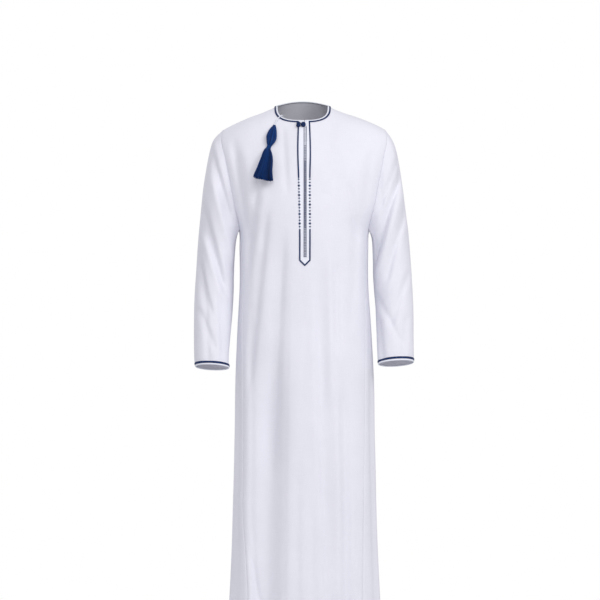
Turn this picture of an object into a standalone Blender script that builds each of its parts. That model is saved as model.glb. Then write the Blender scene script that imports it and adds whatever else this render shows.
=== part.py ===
"""A thobe robe as it is worn, hollow, built from its cut and sewn pieces. Metres, +Z up.

The origin is in the middle of the neck opening, level with the points where neck and shoulders
meet: the wearer's shoulders hold the robe there. The front faces -Y and the wearer's left is +X.
Heights are given as "down", the distance below the origin.
"""

import math
from types import SimpleNamespace

import bmesh
import bpy
import numpy as np
from mathutils import Matrix, Vector

# Driving dimensions
LENGTH = 1.47  # shoulder to hem
CLOTH = 0.0015  # wall of a cloth panel
SEAM = 0.0003  # between two pieces that are sewn together
LIFT = 0.0005  # between a panel and what is sewn on it
TRIM = 0.0012  # thickness of a braid, strip or band
NECK_X = -0.005  # the neck opening's middle
NECK_HALF = 0.0705  # half of its width
NECK_BLEND = 0.012  # keeps the form smooth across the middle
NECK_FRONT = 0.0415  # how far it drops in front
NECK_BACK = 0.012  # how far it rises behind
NECK_SQUARE = 3.0  # how square the front drop is: 2 is an ellipse
SHOULDER = 0.064  # down to the armhole's top
ARMPIT = 0.332  # down to the armhole's bottom
ROUND = 2.2  # exponent of the body's rounded sections
SLIT_HALF = 0.0006  # half the width of the neck slit
SLIT_END = 0.395  # down to the slit's end
UPPER_ROWS = 10  # rows of facets from the shoulder to the armpit
LOWER_ROWS = 15  # and from the armpit to the hem
OUTER_COLUMNS = 4  # columns of facets from the side of the neck to the armhole
SIDE_SHARE = 0.58  # how far out the column from the side of the neck has come at the armpit
SIDE_COLUMNS = 6  # across a side panel
# The front and back are modelled in bands of these rows, each with a right and a left half.
BANDS = (("yoke", 0, 4), ("chest", 4, 10), ("waist", 10, 17), ("hem", 17, 25))

RIGHT, LEFT = -1, 1  # the wearer's sides, as signs of X
FRONT, BACK = -1, 1  # the faces, as signs of Y


class Table:
    """Rows of numbers under named columns, read smoothly by the first column."""

    def __init__(self, names, *rows):
        self.names = names.split()
        self.rows = np.array(rows, float)

    def at(self, name, place):
        key, values = self.rows[:, 0], self.rows[:, self.names.index(name)]
        slopes = np.gradient(values, key)
        place = np.clip(place, key[0], key[-1])
        i = np.clip(np.searchsorted(key, place, side="right") - 1, 0, len(key) - 2)
        width = key[i + 1] - key[i]
        t = (place - key[i]) / width
        return (
            values[i] * (1 + 2 * t) * (1 - t) ** 2
            + values[i + 1] * t * t * (3 - 2 * t)
            + slopes[i] * width * t * (1 - t) ** 2
            + slopes[i + 1] * width * t * t * (t - 1)
        )


def named_rows(names, *rows):
    return [SimpleNamespace(**dict(zip(names.split(), row))) for row in rows]


# Sections of the body. right and left are its half widths, front and back its depths, and
# edge_right and edge_left say how far out the front and back panels reach.
BODY = Table(
    "down  right   left    front  back   edge_right  edge_left",
    (-0.08, 0.300, 0.300, 0.118, 0.112, 0.2180, 0.2165),
    (0.000, 0.300, 0.300, 0.118, 0.112, 0.2180, 0.2165),
    (0.064, 0.285, 0.285, 0.121, 0.120, 0.2180, 0.2165),
    (0.085, 0.268, 0.266, 0.122, 0.122, 0.2225, 0.2200),
    (0.140, 0.243, 0.241, 0.127, 0.127, 0.2120, 0.2110),
    (0.206, 0.222, 0.221, 0.131, 0.130, 0.1985, 0.1980),
    (0.263, 0.205, 0.204, 0.133, 0.129, 0.1880, 0.1875),
    (0.332, 0.1760, 0.1740, 0.133, 0.124, 0.1735, 0.1715),
    (0.390, 0.1742, 0.1708, 0.131, 0.116, 0.1690, 0.1665),
    (0.460, 0.1735, 0.1705, 0.128, 0.110, 0.1660, 0.1640),
    (0.600, 0.1805, 0.1795, 0.128, 0.116, 0.1640, 0.1625),
    (0.740, 0.1860, 0.1865, 0.132, 0.130, 0.1630, 0.1615),
    (0.870, 0.1865, 0.1870, 0.135, 0.136, 0.1630, 0.1600),
    (1.000, 0.1885, 0.1900, 0.137, 0.138, 0.1640, 0.1580),
    (1.070, 0.1905, 0.1917, 0.139, 0.140, 0.1650, 0.1575),
    (1.200, 0.1945, 0.1970, 0.142, 0.145, 0.1570, 0.1555),
    (1.300, 0.1995, 0.2025, 0.146, 0.149, 0.1520, 0.1550),
    (1.470, 0.2110, 0.2140, 0.152, 0.158, 0.1500, 0.1560),
)

# The shoulder ridge, by the distance out from the side of the neck: how far down it lies, the
# height over which the front and back round over to it, and how full they are there.
RIDGE = Table(
    "out    down    round_front full_front round_back full_back",
    (-0.0595, -0.0580, 0.220, 0.66, 0.200, 1.38),
    (-0.035, -0.0350, 0.215, 0.87, 0.200, 1.78),
    (-0.010, -0.0090, 0.210, 1.30, 0.190, 2.20),
    (0.000, 0.0000, 0.205, 1.45, 0.185, 2.20),
    (0.030, 0.0150, 0.180, 1.80, 0.170, 2.20),
    (0.075, 0.0310, 0.150, 2.00, 0.150, 2.10),
    (0.113, 0.0470, 0.130, 2.00, 0.135, 2.00),
    (0.1475, 0.0650, 0.120, 2.00, 0.120, 2.00),
    (0.170, 0.0800, 0.120, 2.00, 0.120, 2.00),
    (0.210, 0.1150, 0.120, 2.00, 0.120, 2.00),
)

# The largest folds of the front and back, each from its top to its low end: bow is how far it
# curves to the left on the way, depth how far it presses in, and right and left its half widths.
FOLD_COLUMNS = "x_top  top   x_low   low    bow     depth   right  left"
FRONT_FOLDS = named_rows(
    FOLD_COLUMNS,
    (-0.042, 0.36, -0.078, 1.75, -0.012, 0.0110, 0.034, 0.018),
    (-0.112, 0.22, -0.142, 0.62, 0.000, 0.0060, 0.020, 0.018),
    (-0.090, 0.34, -0.120, 1.75, -0.014, 0.0070, 0.024, 0.022),
    (0.040, 0.42, 0.086, 1.75, 0.000, 0.0070, 0.022, 0.026),
    (0.108, 0.75, 0.126, 1.75, 0.000, 0.0080, 0.016, 0.020),
    (0.120, 0.20, 0.142, 0.52, 0.000, 0.0050, 0.022, 0.016),
)
BACK_FOLDS = named_rows(
    FOLD_COLUMNS,
    (-0.020, 0.38, -0.034, 1.75, 0.006, 0.0100, 0.026, 0.020),
    (-0.100, 0.20, -0.130, 0.62, 0.000, 0.0060, 0.022, 0.018),
    (-0.085, 0.46, -0.106, 1.75, 0.004, 0.0080, 0.022, 0.026),
    (0.052, 0.44, 0.066, 1.75, -0.008, 0.0110, 0.024, 0.024),
    (0.112, 0.22, 0.138, 0.60, 0.000, 0.0060, 0.018, 0.022),
    (0.112, 0.70, 0.124, 1.75, 0.000, 0.0070, 0.018, 0.018),
)
FOLD_END = 0.22  # the share of a fold's length over which each end dies away
FOLD_EDGE = 0.030  # the distance over which folds die away towards a panel's side

# Rings of a sleeve, from the armhole to the cuff. Each runs from the outer point, on the upper side
# of the arm, to the inner one, on the side of the body; y is its middle, deep its half depth,
# tilt how much its front is raised, and fade how much of the armhole's own shape it keeps.
SLEEVE_COLUMNS = "row   outer_x  outer   inner_x  inner   y       deep    tilt   fade"
SLEEVES = {
    RIGHT: Table(
        SLEEVE_COLUMNS,
        (0, 0.2180, 0.0640, 0.1755, 0.3320, 0.0000, 0.0660, 0.00, 1.00),
        (1, 0.2430, 0.0900, 0.1785, 0.3420, 0.0000, 0.0690, 0.00, 0.80),
        (2, 0.2540, 0.1220, 0.1815, 0.3530, 0.0000, 0.0720, 0.02, 0.55),
        (3, 0.2635, 0.1700, 0.1840, 0.3680, 0.0010, 0.0740, 0.03, 0.30),
        (4, 0.2720, 0.2250, 0.1860, 0.3900, 0.0030, 0.0740, 0.04, 0.12),
        (5, 0.2795, 0.3000, 0.1880, 0.4200, 0.0050, 0.0720, 0.06, 0.03),
        (6, 0.2850, 0.3600, 0.1890, 0.4550, 0.0050, 0.0690, 0.09, 0.00),
        (7, 0.2900, 0.4300, 0.1895, 0.4950, 0.0020, 0.0650, 0.14, 0.00),
        (8, 0.2940, 0.5000, 0.1920, 0.5400, -0.0060, 0.0600, 0.20, 0.00),
        (9, 0.2958, 0.5600, 0.1960, 0.5850, -0.0170, 0.0540, 0.24, 0.00),
        (10, 0.2960, 0.6200, 0.1995, 0.6350, -0.0310, 0.0470, 0.25, 0.00),
        (11, 0.2950, 0.6740, 0.2015, 0.6800, -0.0440, 0.0415, 0.22, 0.00),
        (12, 0.2925, 0.6945, 0.2012, 0.6985, -0.0490, 0.0405, 0.21, 0.00),
    ),
    LEFT: Table(
        SLEEVE_COLUMNS,
        (0, 0.2165, 0.0640, 0.1735, 0.3320, 0.0000, 0.0660, 0.00, 1.00),
        (1, 0.2350, 0.0900, 0.1765, 0.3420, 0.0000, 0.0690, 0.00, 0.80),
        (2, 0.2470, 0.1220, 0.1795, 0.3530, 0.0000, 0.0720, 0.02, 0.55),
        (3, 0.2560, 0.1700, 0.1815, 0.3680, 0.0010, 0.0740, 0.03, 0.30),
        (4, 0.2640, 0.2250, 0.1825, 0.3900, 0.0030, 0.0740, 0.04, 0.12),
        (5, 0.2740, 0.3000, 0.1835, 0.4200, 0.0050, 0.0720, 0.06, 0.03),
        (6, 0.2805, 0.3600, 0.1840, 0.4550, 0.0050, 0.0690, 0.09, 0.00),
        (7, 0.2860, 0.4300, 0.1865, 0.4950, 0.0020, 0.0650, 0.14, 0.00),
        (8, 0.2905, 0.5000, 0.1905, 0.5400, -0.0060, 0.0600, 0.20, 0.00),
        (9, 0.2920, 0.5600, 0.1920, 0.5850, -0.0170, 0.0540, 0.24, 0.00),
        (10, 0.2922, 0.6200, 0.1935, 0.6300, -0.0310, 0.0470, 0.25, 0.00),
        (11, 0.2925, 0.6600, 0.1950, 0.6700, -0.0430, 0.0415, 0.25, 0.00),
        (12, 0.2925, 0.6830, 0.1970, 0.6890, -0.0480, 0.0405, 0.22, 0.00),
    ),
}
CUFF_BRAID = 0.35  # the share of the sleeve's last row that the cuff's braid covers
CUFF_BINDING = 0.0042  # height of the white rim below the sleeve
BINDING_THICK = 0.0024

# The largest folds of a sleeve, by its rows and by the angle round it: 0 is the outer side, 90 the
# front, 180 the side of the body and 270 the back.
SLEEVE_FOLD_COLUMNS = "row_top row_low angle_top angle_low depth  width"
SLEEVE_FOLDS = {
    RIGHT: named_rows(
        SLEEVE_FOLD_COLUMNS,
        (0.6, 6.5, 62, 150, 0.0060, 16),
        (2.0, 8.5, 40, 105, 0.0045, 16),
        (1.0, 7.0, 300, 215, 0.0060, 18),
        (5.0, 10.5, 250, 310, 0.0045, 18),
    ),
    LEFT: named_rows(
        SLEEVE_FOLD_COLUMNS,
        (2.0, 7.5, 52, 140, 0.0070, 15),
        (6.5, 10.5, 140, 60, 0.0040, 18),
        (1.0, 6.5, 295, 220, 0.0060, 18),
        (5.0, 10.0, 300, 245, 0.0045, 18),
    ),
}

# The placket: its middle line and the half width to the middle of the braid on its edges.
PLACKET = Table(
    "down  middle  half",
    (0.030, -0.0015, 0.0140),
    (0.125, -0.0012, 0.0164),
    (0.195, -0.0007, 0.0148),
    (0.360, 0.0010, 0.0134),
    (0.414, 0.0008, 0.0134),
)
PLACKET_CORNER = 0.414  # down to where the pointed end begins
PLACKET_TIP = 0.4275
BRAID_TOP_END = 0.195  # the solid braid stops here
BRAID_TOPS = {RIGHT: 0.0595, LEFT: 0.0425}  # the right one starts below the button's loop
BRAID_LOW_TOP = 0.331  # and starts again here
BRAID_HALF = 0.0020
NECK_BRAID_HALF = 0.0024
NECK_LIFT = 0.0020  # the neck braid bridges the facets at the side of the neck
BINDING_HALF = 0.0019  # half the height of the white rim
NECK_BRAID_OUT = 0.0030  # from the neck's edge to the middle of its braid
BAND_X, BAND_HALF = 0.0016, 0.0042
BAND_TOP, BAND_END = 0.060, 0.405
TAB_X, TAB_HALF = 0.0084, 0.0020
TAB_TOP, TAB_END = 0.0370, 0.0900
TAB_RISE = 0.0060  # how far the tab stands above the neck's edge

CORD_X = -0.0665  # where the tassel's cord crosses the neck braid
CORD_HALF = 0.0013  # half the tassel cord's diameter
TASSEL_DEPTH = 0.62  # depth of the tassel as a share of its width
TASSEL_LIFT = 0.0025  # how far its back stands off the front
# The tassel, from its cord to the threads' ends: the middle line and half width.
TASSEL = Table(
    "row  x       down    half",
    (0, -0.0802, 0.0520, 0.0026),
    (1, -0.0810, 0.0571, 0.0050),
    (2, -0.0838, 0.0654, 0.0090),
    (3, -0.0874, 0.0818, 0.0134),
    (4, -0.0890, 0.0928, 0.0123),
    (5, -0.0920, 0.1032, 0.0084),
    (6, -0.0944, 0.1105, 0.0048),
    (7, -0.0976, 0.1180, 0.0079),
    (8, -0.0984, 0.1260, 0.0121),
    (9, -0.0995, 0.1394, 0.0158),
    (10, -0.1019, 0.1528, 0.0182),
    (11, -0.1060, 0.1716, 0.0213),
    (12, -0.1090, 0.1877, 0.0253),
    (13, -0.1102, 0.2011, 0.0280),
)


def smooth(t):
    t = np.clip(t, 0.0, 1.0)
    return t * t * (3 - 2 * t)


# ---------------------------------------------------------------- the form of the body


def beyond_neck(x):
    """The distance out from the side of the neck, negative within it."""
    middle = NECK_X * (1 - smooth((np.abs(x) - 0.08) / 0.12))
    return np.hypot(x - middle, NECK_BLEND) - math.hypot(NECK_HALF, NECK_BLEND)


def ridge_down(x):
    return RIDGE.at("down", beyond_neck(x))


def fold_depth(folds, x, down):
    total = np.zeros(np.broadcast(x, down).shape)
    for fold in folds:
        along = (down - fold.top) / (fold.low - fold.top)
        middle = fold.x_top + (fold.x_low - fold.x_top) * along
        middle = middle + fold.bow * 4 * along * (1 - along)
        across = (x - middle) / np.where(x < middle, fold.right, fold.left)
        ends = smooth(along / FOLD_END) * smooth((1 - along) / FOLD_END)
        total = total + fold.depth * ends * np.exp(-across * across)
    return total


def panel_edge(x, down):
    return np.where(x < 0, BODY.at("edge_right", down), BODY.at("edge_left", down))


def face_y(face, x, down):
    """Y of the front or the back, with its largest folds."""
    name = "front" if face == FRONT else "back"
    out = beyond_neck(x)
    half = np.where(x < 0, BODY.at("right", down), BODY.at("left", down))
    across = np.clip(np.abs(x) / half, 0, 1)
    depth = BODY.at(name, down) * (1 - across**ROUND) ** (1 / ROUND)
    t = np.clip((down - ridge_down(x)) / RIDGE.at("round_" + name, out), 0, 1)
    depth = depth * (1 - (1 - t) ** 2) ** (1 / RIDGE.at("full_" + name, out))
    folds = fold_depth(FRONT_FOLDS if face == FRONT else BACK_FOLDS, x, down)
    inside = smooth((panel_edge(x, down) - np.abs(x)) / FOLD_EDGE)
    return face * (depth - folds * inside * smooth(depth / 0.08))


def face_place(face, x, down):
    x, down = np.broadcast_arrays(np.asarray(x, float), np.asarray(down, float))
    return np.stack([x, face_y(face, x, down), -down], axis=-1)


def face_normal(face, x, down):
    """Outward normals, from the slopes of the face."""
    step = 0.0008
    low = np.maximum(down, ridge_down(x) + 2 * step)
    slope_x = (face_y(face, x + step, low) - face_y(face, x - step, low)) / (2 * step)
    slope_z = (face_y(face, x, low - step) - face_y(face, x, low + step)) / (2 * step)
    normal = face * np.stack([-slope_x, np.ones_like(slope_x), -slope_z], axis=-1)
    return normal / np.linalg.norm(normal, axis=-1, keepdims=True)


def neck_down(face, x):
    """How far down the neck's edge lies at a place across it."""
    across = np.clip((x - NECK_X) / NECK_HALF, -1, 1)
    if face == FRONT:
        return NECK_FRONT * (1 - np.abs(across) ** NECK_SQUARE) ** (1 / NECK_SQUARE)
    return -NECK_BACK * (1 - across**2)


def neck_edge(angle):
    """The place and normal of the panels' neck edge at an angle round the neck.

    The angle is 0 in the middle of the front and grows towards the wearer's left.
    """
    face = FRONT if math.cos(angle) >= 0 else BACK
    x = NECK_X + NECK_HALF * math.sin(angle)
    down = max(float(neck_down(face, x)), float(ridge_down(x)))
    normal = Vector(face_normal(face, np.array(x), np.array(down)))
    normal.y *= min(1.0, 3 * abs(math.cos(angle)))
    return Vector(face_place(face, x, down)), normal.normalized()


def neck_curve(angle, out):
    """The same on a line that runs round the neck this far out from its edge."""
    place, normal = neck_edge(angle)
    along = neck_edge(angle + 0.02)[0] - neck_edge(angle - 0.02)[0]
    return place + along.cross(normal).normalized() * out, normal


# ---------------------------------------------------------------- meshes


def make_material(name, colour, roughness):
    material = bpy.data.materials.new(name)
    material.use_nodes = True
    shader = material.node_tree.nodes["Principled BSDF"]
    shader.inputs["Base Color"].default_value = (*colour, 1.0)
    shader.inputs["Roughness"].default_value = roughness
    shader.inputs["Metallic"].default_value = 0.0
    return material


def add_object(name, bm, material):
    bmesh.ops.recalc_face_normals(bm, faces=bm.faces[:])
    mesh = bpy.data.meshes.new(name)
    bm.to_mesh(mesh)
    bm.free()
    mesh.materials.append(material)
    mesh.shade_smooth()
    mesh.set_sharp_from_angle(angle=math.radians(40))
    bpy.context.scene.collection.objects.link(bpy.data.objects.new(name, mesh))


def grid_mesh(places):
    """A sheet of quads on rows and columns of places."""
    rows, columns = len(places), len(places[0])
    bm = bmesh.new()
    bm.verts.layers.float_vector.new("inward")
    bmesh.ops.create_grid(bm, x_segments=columns - 1, y_segments=rows - 1, size=1.0)
    ordered = sorted(bm.verts, key=lambda v: (round(v.co.y, 5), round(v.co.x, 5)))
    for vert, place in zip(ordered, (p for row in places for p in row)):
        vert.co = Vector(place)
    return bm, ordered


def shell(name, places, normals, material, slit=None):
    """A wall of cloth behind rows and columns of outer places; slit is (column, rows) left open."""
    bm, ordered = grid_mesh(places)
    inward = bm.verts.layers.float_vector["inward"]
    for vert, normal in zip(ordered, (n for row in normals for n in row)):
        vert[inward] = -Vector(normal) * CLOTH
    if slit:
        column, rows = slit
        width = len(places[0])
        corners = {(r * width + column, (r + 1) * width + column + 1) for r in range(rows)}
        index = {vert: i for i, vert in enumerate(ordered)}
        gone = [
            f
            for f in bm.faces
            if (min(index[v] for v in f.verts), max(index[v] for v in f.verts)) in corners
        ]
        bmesh.ops.delete(bm, geom=gone, context="FACES")
    bmesh.ops.remove_doubles(bm, verts=bm.verts[:], dist=1e-6)
    extruded = bmesh.ops.extrude_face_region(bm, geom=bm.faces[:])["geom"]
    for vert in (v for v in extruded if isinstance(v, bmesh.types.BMVert)):
        vert.co += vert[inward]
    add_object(name, bm, material)


def loft(name, rings, material, closed=False):
    """A solid through rings of places; the rings close on each other, or the ends are capped."""
    rings = [list(ring) + [ring[0]] for ring in rings]
    bm, _ = grid_mesh(rings + rings[:1] if closed else rings)
    bmesh.ops.remove_doubles(bm, verts=bm.verts[:], dist=1e-6)
    if not closed:
        rim = [e for e in bm.edges if e.is_boundary]
        bmesh.ops.holes_fill(bm, edges=rim, sides=0)
    add_object(name, bm, material)


def strip(name, places, normals, half, low, high, material, closed=False):
    """A flat strip along places on a face, from low to high above it, with rounded edges."""
    outline = ((-1, 0), (-1, 0.6), (-0.6, 1), (0.6, 1), (1, 0.6), (1, 0))
    count = len(places)
    rings = []
    for i, (place, normal) in enumerate(zip(places, normals)):
        ahead = places[(i + 1) % count] if closed else places[min(i + 1, count - 1)]
        behind = places[i - 1] if closed else places[max(i - 1, 0)]
        across = (Vector(ahead) - Vector(behind)).cross(Vector(normal)).normalized()
        rings.append(
            [
                Vector(place) + across * half * s + Vector(normal) * (low + (high - low) * t)
                for s, t in outline
            ]
        )
    loft(name, rings, material, closed)


# ---------------------------------------------------------------- front, back and side panels


def row_shares():
    """Where the rows of the upper body lie, as shares of the way from its top to the armpit."""
    return [(i / UPPER_ROWS) ** 1.5 for i in range(UPPER_ROWS + 1)]


def lower_downs():
    return [ARMPIT + (LENGTH - ARMPIT) * i / LOWER_ROWS for i in range(1, LOWER_ROWS + 1)]


def neck_columns(face):
    """Where a panel's columns start across the neck, and the share of the panel's half width that
    each has reached at the armpit; a column with no share runs straight down.
    """
    if face == FRONT:
        straight = [(x, None) for x in (-0.0135, -SLIT_HALF, SLIT_HALF, 0.0135)]
        fans = {RIGHT: (-20, -40, -58, -71, -83), LEFT: (30, 45, 58, 70, 83)}
        shares = (0.17, 0.25, 0.33, 0.41, 0.49)
    else:
        straight = [(NECK_X, 0.0)]
        fans = {RIGHT: (-18, -36, -52, -66, -75, -83), LEFT: (18, 36, 52, 66, 75, 83)}
        shares = (0.10, 0.19, 0.27, 0.35, 0.43, 0.50)
    fanned = [
        (NECK_X + NECK_HALF * math.sin(math.radians(angle)), side * share)
        for side, angles in fans.items()
        for angle, share in zip(angles, shares)
    ]
    return sorted(straight + fanned, key=lambda column: column[0])


def neck_angles(first_x, last_x):
    """Angles of the panels' corners round the neck, between two places on its front."""
    front = [math.asin((x - NECK_X) / NECK_HALF) for x, _ in neck_columns(FRONT)]
    back = [math.pi - math.asin((x - NECK_X) / NECK_HALF) for x, _ in neck_columns(BACK)]
    start = math.asin((first_x - NECK_X) / NECK_HALF)
    end = 2 * math.pi + math.asin((last_x - NECK_X) / NECK_HALF)
    corners = front + back + [a + 2 * math.pi for a in front] + [math.pi / 2, 3 * math.pi / 2]
    inside = sorted(a for a in corners if start + 0.03 < a < end - 0.03)
    return [start, *inside, end]


def panel_places(face):
    """X and down of every corner of a panel's facets, by row and column."""
    side_x = {side: NECK_X + side * NECK_HALF for side in (RIGHT, LEFT)}
    # Each column: its top on the neck, its share of the way out over the shoulder, its low share.
    columns = [(x, None, low) for x, low in neck_columns(face)]
    for side in (RIGHT, LEFT):
        shoulder = [
            (
                side_x[side],
                i / OUTER_COLUMNS,
                side * (SIDE_SHARE + (1 - SIDE_SHARE) * i / OUTER_COLUMNS),
            )
            for i in range(OUTER_COLUMNS + 1)
        ]
        columns = shoulder[::-1] + columns if side == RIGHT else columns + shoulder
    rows = [(share, SHOULDER + (ARMPIT - SHOULDER) * share) for share in row_shares()]
    rows += [(1.0, down) for down in lower_downs()]
    xs = np.array([[column_x(c, share, down) for c in columns] for share, down in rows])
    tops = [
        float(neck_down(face, c[0]) if c[1] is None else ridge_down(x))
        for c, x in zip(columns, xs[0])
    ]
    tops[0] = tops[-1] = SHOULDER
    tops = np.array(tops)
    downs = np.array(
        [
            tops + (ARMPIT - tops) * share if down <= ARMPIT else np.full(len(tops), down)
            for share, down in rows
        ]
    )
    return xs, downs


def column_x(column, share, edge_down):
    """X of a column on a row: from its top place it fans out to its share of the half width."""
    top, out, low = column
    if low is None:
        return top
    edge = float(panel_edge(low, edge_down))
    if out is not None:
        top = top + out * (math.copysign(edge, low) - top)
    spread = float(smooth(share / 0.75))
    return top + spread * (low * edge - top)


def pull_in(places):
    """Draws a panel's outermost corners in by half a seam, so that its neighbours clear it."""
    pulled = places.copy()
    for edge, inner in ((0, 1), (-1, -2)):
        for axis in (0, 1):
            rim, near = places.take(edge, axis), places.take(inner, axis)
            step = (near - rim) / np.linalg.norm(near - rim, axis=-1, keepdims=True)
            target = pulled[edge] if axis == 0 else pulled[:, edge]
            target += step * SEAM / 2
    return pulled


def build_panel(face, material):
    """The front or the back. It gives back its corners' places and normals, for the sleeves."""
    xs, downs = panel_places(face)
    places = face_place(face, xs, downs)
    normals = face_normal(face, xs, downs)
    neck = [abs(x - NECK_X) < NECK_HALF - 1e-6 for x in xs[0]]
    for j, in_neck in enumerate(neck):
        if not in_neck:
            normals[0, j, 1] = 0.0
            places[0, j, 1] = 0.0
    normals /= np.linalg.norm(normals, axis=-1, keepdims=True)
    middle = int(np.argmin(np.abs(xs[0] - (SLIT_HALF if face == FRONT else NECK_X))))
    for band, first, last in BANDS:
        slit = face == FRONT and downs[last, middle] < SLIT_END
        name = ("front_" if face == FRONT else "back_") + band
        for word, left_edge, right_edge in (
            ("_right", 0, middle - 1 if slit else middle),
            ("_left", middle, places.shape[1] - 1),
        ):
            part = np.s_[first : last + 1, left_edge : right_edge + 1]
            shell(name + word, pull_in(places[part]), normals[part], material)
    return places, normals


def side_panel_place(side, share, down):
    """A place on a side panel: share goes from its front seam, 0, to its back seam, 1."""
    half = float(BODY.at("right" if side == RIGHT else "left", down))
    edge = float(BODY.at("edge_right" if side == RIGHT else "edge_left", down))
    widest = math.acos((edge / half) ** (ROUND / 2))
    angle = widest * (1 - 2 * share)
    depth = -float(BODY.at("front", down)) if angle > 0 else float(BODY.at("back", down))
    x = half * math.cos(angle) ** (2 / ROUND)
    return np.array([side * x, depth * abs(math.sin(angle)) ** (2 / ROUND), -down])


def build_side_panel(side, front, back, material):
    """A side panel between the front's and the back's seams, whose corners it shares."""
    column = 0 if side == RIGHT else -1
    downs = [ARMPIT] + lower_downs()
    shares = [i / SIDE_COLUMNS for i in range(SIDE_COLUMNS + 1)]
    places = np.array([[side_panel_place(side, s, d) for s in shares] for d in downs])
    normals = sheet_normals(places)
    if normals[0, SIDE_COLUMNS // 2, 0] * side < 0:
        normals = -normals
    for edge, (panel, panel_normals) in ((0, front), (-1, back)):
        places[:, edge] = panel[UPPER_ROWS:, column]
        normals[:, edge] = panel_normals[UPPER_ROWS:, column]
    name = "side_panel_right" if side == RIGHT else "side_panel_left"
    shell(name, pull_in(places), normals, material)
    return places[0], normals[0]


def sheet_normals(places, closed=False):
    """Normals at the corners of a sheet, from its neighbours along rows and columns."""
    if closed:
        across = np.roll(places, -1, axis=1) - np.roll(places, 1, axis=1)
    else:
        across = np.gradient(places, axis=1)
    normals = np.cross(across, np.gradient(places, axis=0))
    return normals / np.linalg.norm(normals, axis=-1, keepdims=True)


# ---------------------------------------------------------------- sleeves and cuffs


def armhole(side, front, back, top):
    """Places and normals round an armhole: from the shoulder down the front and up the back."""
    column = 0 if side == RIGHT else -1
    places, normals = [], []
    for panel, panel_normals in (front, back):
        edge = panel[: UPPER_ROWS + 1, column]
        step = edge - panel[: UPPER_ROWS + 1, 1 if column == 0 else -2]
        step /= np.linalg.norm(step, axis=-1, keepdims=True)
        places.append(edge + step * SEAM / 2)
        normals.append(panel_normals[: UPPER_ROWS + 1, column])
    middle = top[0][1:-1] + np.array([side * SEAM, 0.0, SEAM])
    for half in places:
        half[-1] += np.array([side * SEAM, 0.0, SEAM])
    ring = np.concatenate([places[0], middle, places[1][:0:-1]])
    ring_normals = np.concatenate([normals[0], top[1][1:-1], normals[1][:0:-1]])
    return ring, ring_normals


def sleeve_ring(side, row, angles, shape):
    """A ring of the sleeve at a row, at angles round it; shape is the armhole's own departure."""
    table = SLEEVES[side]
    value = {name: float(table.at(name, row)) for name in table.names}
    outer = np.array([side * value["outer_x"], 0.0, -value["outer"]])
    inner = np.array([side * value["inner_x"], 0.0, -value["inner"]])
    middle = (outer + inner) / 2 + np.array([0.0, value["y"], 0.0])
    forward = np.array([0.0, -1.0, value["tilt"]]) * value["deep"]
    reach = (outer - inner) / 2
    ring = middle + np.outer(np.cos(angles), reach) + np.outer(np.sin(angles), forward)
    radial = ring - middle
    radial /= np.linalg.norm(radial, axis=-1, keepdims=True)
    return ring + shape * value["fade"] - radial * sleeve_folds(side, row, angles)[:, None]


def sleeve_folds(side, row, angles):
    total = np.zeros(len(angles))
    for fold in SLEEVE_FOLDS[side]:
        along = (row - fold.row_top) / (fold.row_low - fold.row_top)
        middle = fold.angle_top + (fold.angle_low - fold.angle_top) * along
        across = (np.degrees(angles) % 360 - middle) / fold.width
        total += fold.depth * smooth(along / 0.3) * smooth((1 - along) / 0.3) * np.exp(-(across**2))
    return total


def build_sleeve(side, hole, hole_normals, cloth, navy):
    """A sleeve from its armhole to the cuff, with the cuff's braid and binding."""
    word = "right" if side == RIGHT else "left"
    table = SLEEVES[side]
    first = {name: float(table.at(name, 0)) for name in table.names}
    outer = np.array([side * first["outer_x"], 0.0, -first["outer"]])
    inner = np.array([side * first["inner_x"], 0.0, -first["inner"]])
    middle, reach = (outer + inner) / 2, (outer - inner) / 2
    upward = (hole - middle) @ reach / (reach @ reach)
    forward = -(hole - middle)[:, 1] / first["deep"]
    angles = np.unwrap(np.arctan2(forward, upward))
    plain = middle + np.outer(np.cos(angles), reach)
    plain += np.outer(np.sin(angles), np.array([0.0, -first["deep"], 0.0]))
    shape = hole - plain
    last = len(table.rows) - 1
    rows = [0.0, 0.5, *range(1, last), last - CUFF_BRAID, last]
    places = np.array([sleeve_ring(side, row, angles, shape) for row in rows])
    places[0] = hole
    normals = sheet_normals(places, closed=True)
    centres = places.mean(axis=1, keepdims=True)
    if ((places - centres) * normals).sum() < 0:
        normals = -normals
    with_panel = (normals[0] * hole_normals).sum(axis=-1) > 0.2
    normals[0][with_panel] = hole_normals[with_panel]
    shell("sleeve_" + word, wrapped(places), wrapped(normals), cloth)
    braid = places[-2:] + normals[-2:] * LIFT
    cuff_ring("cuff_braid_" + word, braid, normals[-2:] * TRIM, navy)
    fall = places[-1] - places[-2]
    fall /= np.linalg.norm(fall, axis=-1, keepdims=True)
    rim = np.array([places[-1] + fall * SEAM, places[-1] + fall * (SEAM + CUFF_BINDING)])
    rim += normals[-1] * SEAM
    thick = normals[-1] * BINDING_THICK
    cuff_ring("cuff_binding_" + word, rim - thick, thick, cloth)


def wrapped(grid):
    """The grid with its first column again at its end."""
    return np.concatenate([grid, grid[:, :1]], axis=1)


def cuff_ring(name, edges, thick, material):
    """A closed band between two rings of places, this thick along the normals."""
    (top, low), (top_thick, low_thick) = edges, np.broadcast_to(thick, edges.shape)
    corners = (top, top + top_thick, low + low_thick, low)
    loft(name, np.stack(corners, axis=1), material, closed=True)


# ---------------------------------------------------------------- neck and placket


def front_rows_between(top, low):
    """Heights of the front's rows near its middle that lie between two heights, with both ends."""
    middle_top = float(neck_down(FRONT, 0.0))
    downs = [middle_top + (ARMPIT - middle_top) * share for share in row_shares()]
    downs += lower_downs()
    inside = [d for d in downs if top + 0.004 < d < low - 0.004]
    return [top, *inside, low]


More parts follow.
